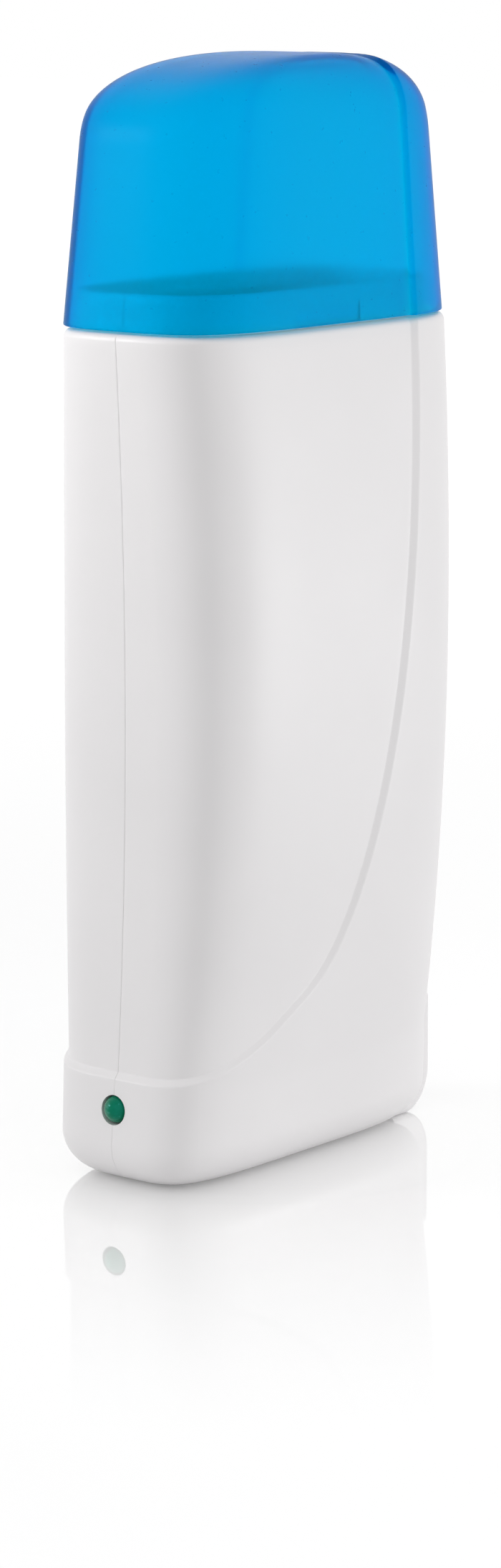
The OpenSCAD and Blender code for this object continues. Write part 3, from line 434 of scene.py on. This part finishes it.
def neck_rows():
    """Up the neck, over its rim and down to the groove that the deck sits in."""
    rows = [neck_row(SHOULDER_Z, NECK_FOOT)]
    for a in np.radians([30, 60, 90]):
        z = SHOULDER_Z + NECK_FOOT * (1 - math.cos(a))
        rows.append(neck_row(z, NECK_FOOT * (1 - math.sin(a))))
    rows.append(neck_row(SHOULDER_Z + 3.5, 0))
    for a in np.radians([0, 22, 45, 67, 90]):
        z = NECK_TOP - NECK_ROUND * (1 - math.sin(a))
        rows.append(neck_row(z, -NECK_ROUND * (1 - math.cos(a))))
    for a in np.radians([90, 60, 30, 0]):
        z = NECK_TOP - NECK_ROUND * (1 - math.sin(a))
        rows.append(neck_row(z, -NECK_WALL + NECK_ROUND * (1 - math.cos(a)), False))
    top, low = DECK_Z + DECK_T + DECK_CLEAR, DECK_Z - DECK_CLEAR
    for z, g in ((top, 0), (top, DECK_GROOVE), (low, DECK_GROOVE), (low, 0)):
        rows.append(neck_row(z, g - NECK_WALL, False))
    rows.append(neck_row(SHOULDER_Z - 1, -NECK_WALL, False))
    return rows


def inner_body_rows():
    """Down the inside of the body and in to the middle of its floor."""
    rows = []
    for z in np.linspace(SHOULDER_Z - SHOULDER_ROUND - WALL, LEDGE_Z + 1, 12):
        rows.append(inner_row(z, panel_section(z, -WALL)))
    rows.append(inner_row(LEDGE_Z, base_section(LEDGE_Z, -WALL)))
    r = BASE_ROUND - WALL
    for a in np.radians(np.arange(90, -1, -15)):
        z = BASE_ROUND - r * math.cos(a)
        section = base_section(max(z, BASE_LOW_Z), r * math.sin(a) - BASE_ROUND)
        rows.append(inner_row(z, section))
    rows += closing_rows(rows[-1], INNER_CLOSING)[::-1]
    return rows


# ---- mesh helpers ----


def new_object(name, verts, faces, scale=MM):
    mesh = bpy.data.meshes.new(name)
    mesh.from_pydata([tuple(v) for v in np.asarray(verts, float) * scale], [], faces)
    mesh.update()
    obj = bpy.data.objects.new(name, mesh)
    scene.collection.objects.link(obj)
    return obj


def clean(obj, merge=1e-6):
    bm = bmesh.new()
    bm.from_mesh(obj.data)
    bmesh.ops.remove_doubles(bm, verts=bm.verts, dist=merge)
    bmesh.ops.dissolve_degenerate(bm, edges=bm.edges, dist=merge / 2)
    bmesh.ops.recalc_face_normals(bm, faces=bm.faces)
    bm.to_mesh(obj.data)
    bm.free()


def smooth(obj, degrees=32):
    obj.data.shade_smooth()
    obj.data.set_sharp_from_angle(angle=math.radians(degrees))


def grid_faces(rows, cols, closed=False):
    faces = []
    for i in range(rows - 1):
        for j in range(cols if closed else cols - 1):
            a, b = i * cols + j, i * cols + (j + 1) % cols
            faces.append((a, b, b + cols, a + cols))
    return faces


def half_shell_sheet():
    """A half shell as one closed grid, with its flat rim on the seam plane as a single face."""
    rows = outer_body_rows() + neck_rows() + inner_body_rows()
    cols = len(rows[0])
    verts = np.vstack(rows)
    faces = grid_faces(len(rows), cols)
    n = len(rows)
    loop = list(range(cols))
    loop += [i * cols + cols - 1 for i in range(1, n)]
    loop += [(n - 1) * cols + j for j in range(cols - 2, -1, -1)]
    loop += [i * cols for i in range(n - 2, 0, -1)]
    faces.append(tuple(loop[::-1]))
    return verts, faces


def mirrored(verts, faces, side):
    if side > 0:
        return verts, faces
    return verts * [-1, 1, 1], [f[::-1] for f in faces]


def prism(name, outline, axis, lo, hi):
    """A prism over an outline; axis 0 runs along X with an outline in (y, z), 1 along Y with (x, z)."""
    n = len(outline)
    verts = []
    for v in (lo, hi):
        for p, q in outline:
            verts.append((v, p, q) if axis == 0 else (p, v, q))
    faces = [(i, (i + 1) % n, n + (i + 1) % n, n + i) for i in range(n)]
    faces += [tuple(range(n))[::-1], tuple(range(n, 2 * n))]
    obj = new_object(name, verts, faces)
    clean(obj)
    return obj


def circle(cx, cy, r, n=48):
    angles = [2 * math.pi * i / n for i in range(n)]
    return [(cx + r * math.cos(a), cy + r * math.sin(a)) for a in angles]


def slot_outline(r, half, z, n=24):
    """Two half circles of radius r, each half to one side of the middle."""
    pts = []
    for start, x in ((-math.pi / 2, half), (math.pi / 2, -half)):
        for i in range(n + 1):
            a = start + math.pi * i / n
            pts.append((x + r * math.cos(a), z + r * math.sin(a)))
    return pts


def box_outline(a0, a1, b0, b1):
    return [(a0, b0), (a1, b0), (a1, b1), (a0, b1)]


def boolean(obj, others, operation):
    for other in others:
        mod = obj.modifiers.new("boolean", "BOOLEAN")
        mod.operation = operation
        mod.solver = "MANIFOLD"
        mod.object = other
        graph = bpy.context.evaluated_depsgraph_get()
        mesh = bpy.data.meshes.new_from_object(obj.evaluated_get(graph))
        obj.modifiers.remove(mod)
        old = obj.data
        obj.data = mesh
        bpy.data.meshes.remove(old)
        bpy.data.objects.remove(other)


# the heel's rounded edge at the seam: (x, how far in from the rear face)
HEEL_SEAM = [(0.3, 0), (0.16, 0.03), (GAP, 0.16)]


def heel_half(side):
    def outline(z):
        r, t, e, c = BASE_ROUND, HEEL_TOP_ROUND, HEEL_FOOT_ROUND, HEEL_ROUND
        y1, half = HEEL_REAR, HEEL_HALF
        if z < r:
            y1 = HEEL_REAR - r + math.sqrt(r * r - (r - z) ** 2)
        if z < e:
            half = HEEL_HALF - e + math.sqrt(e * e - (e - z) ** 2)
        if z > HEEL_H - t:
            rounded = math.sqrt(max(t * t - (z - HEEL_H + t) ** 2, 0)) - t
            y1, half = HEEL_REAR + rounded, HEEL_HALF + rounded
        pts = [(GAP, HEEL_FRONT), (half, HEEL_FRONT)]
        for a in np.linspace(0, math.pi / 2, 12):
            pts.append((half - c + c * math.cos(a), y1 - c + c * math.sin(a)))
        pts += [(x, y1 - inset) for x, inset in HEEL_SEAM]
        return [(x, y, z) for x, y in pts]

    levels = [BASE_ROUND * (1 - math.cos(a)) for a in np.radians(np.arange(0, 90, 4))]
    levels += list(np.linspace(BASE_ROUND, HEEL_H - HEEL_TOP_ROUND, 10))
    levels += [HEEL_H - HEEL_TOP_ROUND * (1 - math.sin(a)) for a in np.radians(np.arange(10, 91, 10))]
    rings = [outline(z) for z in levels]
    n = len(rings[0])
    faces = grid_faces(len(rings), n, closed=True)
    faces += [tuple(range(n))[::-1], tuple(range((len(rings) - 1) * n, len(rings) * n))]
    verts, faces = mirrored(np.vstack(rings), faces, side)
    obj = new_object("heel", verts, faces)
    clean(obj)
    return obj


def boss(y, z):
    """The boss of a screw on the left half, ended halfway into the curved wall."""
    n = 48
    f = unit_half(side_power(z), DEPTH_POWER)
    ring = section_xy(panel_section(z, -WALL / 2), f)
    verts = []
    for py, pz in circle(y, z, BOSS_D / 2, n):
        reach = np.interp(py, ring[:, 1], ring[:, 0])
        verts.append((-GAP - 0.1, py, pz))
        verts.append((-reach, py, pz))
    faces = [(2 * i, 2 * i + 1, (2 * i + 3) % (2 * n), (2 * i + 2) % (2 * n)) for i in range(n)]
    faces += [tuple(range(0, 2 * n, 2))]
    faces += [(2 * n, 2 * i + 1, (2 * i + 3) % (2 * n)) for i in range(n)]
    middle = np.mean([v[0] for v in verts[1::2]])
    verts.append((middle, y, z))
    obj = new_object("boss", verts, faces)
    clean(obj)
    return obj


def neck_slot(side):
    x = side * (neck_section(CAP_Z)[0] - SLOT_CLEAR)
    y, z = BEAD_LEN / 2 + SLOT_CLEAR, CAP_Z + BEAD_LIFT
    outline = box_outline(BEAD_Y - y, BEAD_Y + y, z - SLOT_CLEAR_Z, z + BEAD_H + SLOT_CLEAR_Z)
    return prism("slot", outline, 0, *sorted((x, x + side * 5)))


def shell(name, side):
    """One half of the case; the left one, side -1, also has the screws' bosses and bores."""
    verts, faces = mirrored(*half_shell_sheet(), side)
    obj = new_object(name, verts, faces)
    clean(obj)
    extra = [heel_half(side)]
    if side < 0:
        extra += [boss(y, z) for y, z in SCREWS]
    boolean(obj, extra, "UNION")
    inlet_r = LOBE_D / 2 + INLET_WALL + INLET_CLEAR
    heel_inside = HEEL_REAR - HEEL_BACK_T
    room = box_outline(-HEEL_HALF + WALL, HEEL_HALF - WALL, WALL, HEEL_H - WALL)
    cutters = [
        prism("lamp_hole", circle(0, LAMP_Z, LAMP_HOLE_D / 2, 64), 1, BASE_FRONT - 5, BASE_FRONT + 6),
        neck_slot(side),
        prism("window", slot_outline(inlet_r, LOBE_PITCH / 2, INLET_Z), 1,
              heel_inside - 0.5, HEEL_REAR + 2),
        prism("room", room, 1, HEEL_FRONT + 0.5, heel_inside),
    ]
    if side < 0:
        for y, z in SCREWS:
            cutters.append(prism("bore", circle(y, z, HEAD_BORE_D / 2), 0, -40, -HEAD_SEAT))
    boolean(obj, cutters, "DIFFERENCE")
    clean(obj)
    smooth(obj)
    return obj


# ---- cap ----

# the slope in front of the rear rib; columns in front of it, across it and behind it
RIB_W = 0.9
CAP_COLS = (60, 9, 44)


def cap_row(z, w=0.0, w_top=0.0):
    """One full ring of the cap, right half then left half."""
    f = unit_half(CAP_SIDE_POWER, CAP_DEPTH_POWER)
    s = cap_section(z, w, w_top)
    ring = section_xy(s, f)
    pos = along(ring)
    y = min(RIB_Y, s[2] - 0.2 * (s[2] - s[1]) / 2)
    a, b, c = CAP_COLS
    low, high = side_at(ring, s, y - RIB_W / 2), side_at(ring, s, y + RIB_W / 2)
    f = resample(f, pos, np.concatenate([
        low * np.linspace(0, 1, a),
        low + (high - low) * np.linspace(0, 1, b)[1:],
        high + (pos[-1] - high) * np.linspace(0, 1, c)[1:],
    ]))
    ring = section_xy(s, f)
    share = smooth01((ring[:, 1] - RIB_Y) / RIB_W + 0.5)
    grown = section_xy(cap_section(z, w, w_top, STEP), f)
    ring = ring + (grown - ring) * share[:, None]
    top = smooth01((z - CAP_TOP + CROWN_DROP) / CROWN_DROP)
    right = np.column_stack([ring, float(z) + share * top * STEP / 2])
    left = right[-2:0:-1] * [-1, 1, 1]
    return np.vstack([right, left])


def cap_rows():
    """The cap's outer rings from its foot up, then its inner ones from the crown down."""
    rows = []
    r = CAP_FOOT_ROUND
    for a in np.radians([90, 68, 45, 22, 0]):
        rows.append(inset_ring(cap_row(CAP_Z + r * (1 - math.sin(a))), r * (1 - math.cos(a))))
    rows += [cap_row(z) for z in np.linspace(CAP_Z + 1.5, CAP_TOP - CROWN_DROP, 24)]
    for a in np.radians(np.concatenate([np.arange(1.5, 80, 1.1), np.arange(80, 90.01, 0.5)])):
        rows.append(cap_row(CAP_TOP - CROWN_DROP * (1 - math.sin(a))))
    inner = []
    top = CAP_TOP - CAP_WALL
    drop = CROWN_DROP - CAP_WALL
    for a in np.radians(np.concatenate([np.arange(90, 80, -1), np.arange(80, 0, -4)])):
        inner.append(cap_row(top - drop * (1 - math.sin(a)), CAP_WALL, CAP_WALL))
    inner += [cap_row(z, CAP_WALL, CAP_WALL) for z in np.linspace(top - drop, CAP_Z + 0.3, 8)]
    return rows, inner


def inset_ring(p, d):
    """A ring moved inwards by d along its own outline's normals."""
    t = np.roll(p, -1, axis=0) - np.roll(p, 1, axis=0)
    n = np.column_stack([t[:, 1], -t[:, 0]])
    n /= np.linalg.norm(n, axis=1)[:, None]
    q = p.copy()
    q[:, :2] -= n * d
    return q


# vertices of the cap closer than this, in metres, are merged
CAP_MERGE = 2e-7


def make_cap():
    outer, inner = cap_rows()
    rows = outer + inner
    cols = len(rows[0])
    n_out = len(outer)
    faces = grid_faces(n_out, cols, closed=True)
    faces += [tuple(v + n_out * cols for v in f) for f in grid_faces(len(inner), cols, closed=True)]
    last = (len(rows) - 1) * cols
    faces += [(last + j, last + (j + 1) % cols, (j + 1) % cols, j) for j in range(cols)]
    faces.append(tuple(range((n_out - 1) * cols, n_out * cols)))
    faces.append(tuple(range(n_out * cols, (n_out + 1) * cols)))
    obj = new_object("cap_shell", np.vstack(rows), faces)
    clean(obj, CAP_MERGE)
    inner_half = cap_section(CAP_Z + BEAD_LIFT, CAP_WALL, 0)[0]
    y, z = BEAD_LEN / 2, CAP_Z + BEAD_LIFT
    outline = box_outline(BEAD_Y - y, BEAD_Y + y, z, z + BEAD_H)
    beads = []
    for s in (1, -1):
        ends = sorted((s * (inner_half - BEAD_STEP), s * (inner_half + BEAD_ROOT)))
        beads.append(prism("bead", outline, 0, *ends))
    boolean(obj, beads, "UNION")
    clean(obj, CAP_MERGE)
    smooth(obj, 35)
    return obj


# ---- pilot lamp ----


def make_lamp():
    """A dome with its rim and flange, turned about its own axis, and its two leads."""
    r, e = LAMP_D / 2, FLANGE_BEVEL
    tip = BASE_FRONT + (LAMP_Z - BASE_ROUND) * BASE_FRONT_LEAN - LAMP_REACH
    flange = tip + LAMP_REACH + WALL + FLANGE_CLEAR + FLANGE_R * BASE_FRONT_LEAN
    back = flange + FLANGE_T
    profile = [(tip + r - r * math.cos(a), r * math.sin(a)) for a in np.radians(np.arange(0, 91, 5))]
    profile += [(flange - e, r), (flange, r + e), (flange, FLANGE_R - e), (flange + e, FLANGE_R),
                (back - e, FLANGE_R), (back, FLANGE_R - e), (back, 0)]
    ring = circle(0, 0, 1, 64)
    verts = [(rad * x, y, LAMP_Z + rad * z) for y, rad in profile for x, z in ring]
    obj = new_object("lamp_dome", verts, grid_faces(len(profile), len(ring), closed=True))
    clean(obj)
    smooth(obj, 40)
    leads = []
    lead_end = BASE_FRONT + BOARD_BACK + BOARD_T + LEAD_PAST
    h = LEAD_HALF
    for name, x in (("lamp_lead_right", LEAD_X), ("lamp_lead_left", -LEAD_X)):
        leads.append(prism(name, box_outline(x - h, x + h, LAMP_Z - h, LAMP_Z + h), 1, back, lead_end))
    return obj, leads


# ---- materials ----


def principled(name, color, roughness, **values):
    mat = bpy.data.materials.new(name)
    mat.use_nodes = True
    node = mat.node_tree.nodes["Principled BSDF"]
    node.inputs["Base Color"].default_value = (*color, 1)
    node.inputs["Roughness"].default_value = roughness
    for key, value in values.items():
        node.inputs[key.replace("_", " ")].default_value = value
    return mat, node


def add_node(mat, kind, inputs=(), **props):
    node = mat.node_tree.nodes.new(kind)
    for key, value in props.items():
        setattr(node, key, value)
    for key, value in dict(inputs).items():
        node.inputs[key].default_value = value
    return node


def link(mat, a, out, b, inp):
    mat.node_tree.links.new(a.outputs[out], b.inputs[inp])


def grain(mat, node, scale, strength, distance, rough, stretch=(1, 1, 1)):
    """A fine moulded or drawn grain: noise in the bump, and a little of it in the roughness."""
    coord = add_node(mat, "ShaderNodeTexCoord")
    mapping = add_node(mat, "ShaderNodeMapping")
    mapping.inputs["Scale"].default_value = stretch
    link(mat, coord, "Object", mapping, "Vector")
    noise = add_node(mat, "ShaderNodeTexNoise", {"Scale": scale, "Detail": 3.0, "Roughness": 0.55})
    link(mat, mapping, "Vector", noise, "Vector")
    bump = add_node(mat, "ShaderNodeBump", {"Strength": strength, "Distance": distance})
    link(mat, noise, "Fac", bump, "Height")
    link(mat, bump, "Normal", node, "Normal")
    span = add_node(mat, "ShaderNodeMapRange", {"To Min": rough[0], "To Max": rough[1]})
    link(mat, noise, "Fac", span, "Value")
    link(mat, span, "Result", node, "Roughness")


def tint(mat, node, low, high, scale):
    """Slow variation of the colour between two near tones."""
    coord = add_node(mat, "ShaderNodeTexCoord")
    noise = add_node(mat, "ShaderNodeTexNoise", {"Scale": scale, "Detail": 2.0})
    link(mat, coord, "Object", noise, "Vector")
    tones = add_node(mat, "ShaderNodeValToRGB")
    for element, position, color in zip(tones.color_ramp.elements, (0.35, 0.65), (low, high)):
        element.position = position
        element.color = (*color, 1)
    link(mat, noise, "Fac", tones, "Fac")
    link(mat, tones, "Color", node, "Base Color")


def simple(name, low, high, rough, bump, metallic):
    mat, node = principled(name, high, sum(rough) / 2, Metallic=metallic)
    grain(mat, node, *bump, rough=rough)
    tint(mat, node, low, high, 60)
    return mat


# grain as scale, strength and distance
FINE, MATT = (900, 0.15, 0.00005), (1500, 0.4, 0.0001)
RUBBER, FIBRE = (1200, 0.4, 0.0001), (2500, 0.5, 0.0001)
# name, two tones, roughness from and to, grain, metallic
SIMPLE = [
    ("white_deck", (0.74, 0.73, 0.72), (0.8, 0.79, 0.78), (0.38, 0.48), FINE, 0),
    ("seat_rubber", (0.07, 0.07, 0.075), (0.1, 0.1, 0.105), (0.7, 0.85), RUBBER, 0),
    ("heater_ceramic", (0.1, 0.1, 0.105), (0.16, 0.16, 0.165), (0.6, 0.8), MATT, 0),
    ("contact_brass", (0.6, 0.42, 0.18), (0.72, 0.52, 0.24), (0.25, 0.4), FINE, 1),
    ("amber_film", (0.55, 0.25, 0.03), (0.65, 0.32, 0.05), (0.15, 0.25), FINE, 0),
    ("spring_steel", (0.5, 0.5, 0.52), (0.6, 0.6, 0.62), (0.25, 0.38), FINE, 1),
    ("fuse_metal", (0.6, 0.6, 0.6), (0.7, 0.7, 0.7), (0.3, 0.42), FINE, 1),
    ("tube_glass_fibre", (0.7, 0.66, 0.55), (0.8, 0.77, 0.68), (0.6, 0.8), FIBRE, 0),
    ("board_green", (0.02, 0.14, 0.05), (0.03, 0.18, 0.07), (0.3, 0.42), FINE, 0),
    ("resistor_beige", (0.5, 0.42, 0.26), (0.58, 0.5, 0.33), (0.4, 0.55), FINE, 0),
    ("diode_black", (0.02, 0.02, 0.02), (0.035, 0.035, 0.035), (0.4, 0.5), FINE, 0),
    ("inlet_black", (0.016, 0.016, 0.017), (0.026, 0.026, 0.028), (0.36, 0.5), FINE, 0),
    ("pin_nickel", (0.6, 0.57, 0.52), (0.68, 0.65, 0.6), (0.18, 0.3), FINE, 1),
    ("wire_brown", (0.12, 0.045, 0.015), (0.16, 0.06, 0.02), (0.35, 0.5), FINE, 0),
    ("wire_blue", (0.02, 0.07, 0.32), (0.03, 0.1, 0.4), (0.35, 0.5), FINE, 0),
    ("wire_white", (0.66, 0.66, 0.62), (0.74, 0.74, 0.7), (0.35, 0.5), FINE, 0),
    ("screw_steel", (0.5, 0.5, 0.51), (0.6, 0.6, 0.61), (0.25, 0.4), FINE, 1),
]


def make_materials():
    mats = {}
    mat, node = principled("white_case", (0.8, 0.79, 0.795), 0.38, Specular_IOR_Level=0.4)
    grain(mat, node, 1500, 0.12, 0.00003, rough=(0.33, 0.43))
    tint(mat, node, (0.79, 0.775, 0.782), (0.805, 0.79, 0.797), 35)
    mats["white_case"] = mat
    mat, node = principled("blue_cap", (0.0, 0.82, 0.93), 0.3, Transmission_Weight=0.92, IOR=1.09,
                           Specular_Tint=(0.02, 0.4, 0.9, 1))
    grain(mat, node, 700, 0.1, 0.00003, rough=(0.25, 0.33))
    depth = add_node(mat, "ShaderNodeVolumeAbsorption",
                     {"Color": (0.0, 0.7, 0.94, 1), "Density": 440})
    link(mat, depth, "Volume", mat.node_tree.nodes["Material Output"], "Volume")
    mats["blue_cap"] = mat
    mat, node = principled("lamp_green", (0.0, 0.165, 0.08), 0.12, IOR=1.5,
                           Specular_Tint=(0.1, 0.55, 0.6, 1))
    grain(mat, node, 900, 0.05, 0.00002, rough=(0.1, 0.15))
    tint(mat, node, (0.0, 0.15, 0.07), (0.004, 0.18, 0.1), 400)
    mats["lamp_green"] = mat
    mat, node = principled("sleeve_aluminium", (0.72, 0.73, 0.74), 0.35, Metallic=1)
    grain(mat, node, 500, 0.25, 0.00005, rough=(0.28, 0.42), stretch=(1, 1, 0.03))
    mats["sleeve_aluminium"] = mat
    for name, *values in SIMPLE:
        mats[name] = simple(name, *values)
    return mats


materials = make_materials()


def dress(obj, slot):
    obj.data.materials.clear()
    obj.data.materials.append(materials[slot])


for entry in frame["record"]["subparts"]:
    dress(frame["nodes"][entry["node"]], entry["material_slot"])


def place(obj, body, slot, *nodes):
    dress(obj, slot)
    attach(obj, body)
    if nodes:
        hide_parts(*nodes)


place(shell("case_right", 1), "body", "white_case", "shell_right")
place(shell("case_left", -1), "body", "white_case", "shell_left")
place(make_cap(), "cap", "blue_cap", "cap")
lamp, lamp_leads = make_lamp()
place(lamp, "body", "lamp_green", "pilot_lamp")
for lead in lamp_leads:
    place(lead, "body", "pin_nickel")

# ---- floor, world and lights ----

FLOOR_HALF = 4000
# the floor's glow for rays that see it, at two distances in metres from the object's axis
FLOOR_GLOW, FLOOR_GLOW_FAR = 0.42, 0.56
GLOW_FROM, GLOW_TO = 0.2, 1.2
# the floor's mirror fades out between two distances in metres
FLOOR_MIRROR, MIRROR_FROM, MIRROR_TO, MIRROR_POWER = 0.6, 0.045, 0.185, 1.6
WORLD_LIGHT = 0.76


def seen_directly(tree):
    """1 for camera, mirror and glass rays, so that all of them see the pale background."""
    path = tree.nodes.new("ShaderNodeLightPath")
    value = path.outputs["Is Camera Ray"]
    for ray in ("Is Glossy Ray", "Is Transmission Ray"):
        either = tree.nodes.new("ShaderNodeMath")
        either.operation = "MAXIMUM"
        tree.links.new(value, either.inputs[0])
        tree.links.new(path.outputs[ray], either.inputs[1])
        value = either.outputs[0]
    return value


def make_floor():
    s = FLOOR_HALF
    floor = new_object("floor", [(-s, -s, 0), (s, -s, 0), (s, s, 0), (-s, s, 0)], [(0, 1, 2, 3)])
    mat, node = principled("floor", (0.66, 0.66, 0.66), 0.6, Specular_IOR_Level=0)
    tree = mat.node_tree
    coord = add_node(mat, "ShaderNodeTexCoord")
    far = add_node(mat, "ShaderNodeVectorMath", operation="LENGTH")
    link(mat, coord, "Object", far, 0)
    level = add_node(mat, "ShaderNodeMapRange", {"From Min": GLOW_FROM, "From Max": GLOW_TO,
                                                 "To Min": FLOOR_GLOW, "To Max": FLOOR_GLOW_FAR})
    link(mat, far, "Value", level, "Value")
    scale = add_node(mat, "ShaderNodeMath", operation="MULTIPLY")
    tree.links.new(seen_directly(tree), scale.inputs[0])
    link(mat, level, "Result", scale, 1)
    glow = add_node(mat, "ShaderNodeEmission", {"Color": (1, 1, 1, 1)})
    link(mat, scale, "Value", glow, "Strength")
    both = add_node(mat, "ShaderNodeAddShader")
    link(mat, node, 0, both, 0)
    link(mat, glow, 0, both, 1)
    fade = add_node(mat, "ShaderNodeMapRange", {"From Min": MIRROR_FROM, "From Max": MIRROR_TO,
                                                "To Min": 1, "To Max": 0})
    link(mat, far, "Value", fade, "Value")
    curve = add_node(mat, "ShaderNodeMath", {1: MIRROR_POWER}, operation="POWER")
    link(mat, fade, "Result", curve, 0)
    share = add_node(mat, "ShaderNodeMath", {1: FLOOR_MIRROR}, operation="MULTIPLY")
    link(mat, curve, "Value", share, 0)
    gloss = add_node(mat, "ShaderNodeBsdfGlossy", {"Color": (1, 1, 1, 1), "Roughness": 0.02})
    mix = add_node(mat, "ShaderNodeMixShader")
    link(mat, share, "Value", mix, 0)
    link(mat, both, 0, mix, 1)
    link(mat, gloss, 0, mix, 2)
    link(mat, mix, 0, tree.nodes["Material Output"], "Surface")
    floor.data.materials.append(mat)


def make_world():
    """White wherever it is seen, and dimmer where it lights."""
    world = bpy.data.worlds.new("studio")
    scene.world = world
    world.use_nodes = True
    tree = world.node_tree
    tree.nodes.clear()
    out = tree.nodes.new("ShaderNodeOutputWorld")
    mix = tree.nodes.new("ShaderNodeMixShader")
    tree.links.new(seen_directly(tree), mix.inputs[0])
    for socket, strength in ((1, WORLD_LIGHT), (2, 1)):
        background = tree.nodes.new("ShaderNodeBackground")
        background.inputs["Color"].default_value = (1, 1, 1, 1)
        background.inputs["Strength"].default_value = strength
        tree.links.new(background.outputs[0], mix.inputs[socket])
    tree.links.new(mix.outputs[0], out.inputs["Surface"])


def soft_light(name, azimuth, elevation, distance, size, power, aim=0.11, spread=180):
    """An area lamp that looks at the object's axis at the height aim, in metres and watts; azimuth
    is turned from the camera's, left positive."""
    data = bpy.data.lights.new(name, "AREA")
    data.shape = "RECTANGLE"
    data.size, data.size_y = size
    data.energy = power
    data.spread = math.radians(spread)
    obj = bpy.data.objects.new(name, data)
    a = CAMERA_AZIMUTH - math.radians(azimuth)
    e = math.radians(elevation)
    target = Vector((0, 0, aim))
    towards = Vector((math.sin(a) * math.cos(e), -math.cos(a) * math.cos(e), math.sin(e)))
    obj.location = target + towards * distance
    obj.rotation_euler = (target - obj.location).to_track_quat("-Z", "Y").to_euler()
    scene.collection.objects.link(obj)


make_floor()
make_world()
soft_light("left", 96, 8, distance=1.5, size=(0.9, 1.2), power=4)
soft_light("high_left", 82, 12, distance=0.8, size=(0.3, 0.3), power=0.19, aim=0.26, spread=36)
soft_light("right", -86, 4, distance=1.5, size=(0.9, 1.2), power=3.2)
soft_light("low_right", -88, -7, distance=0.5, size=(0.2, 0.08), power=0.38)
soft_light("glint_front", -12, 43, distance=0.6, size=(0.1, 0.1), power=0.1)
soft_light("glint_right", -56, 45, distance=0.6, size=(0.1, 0.1), power=0.1)
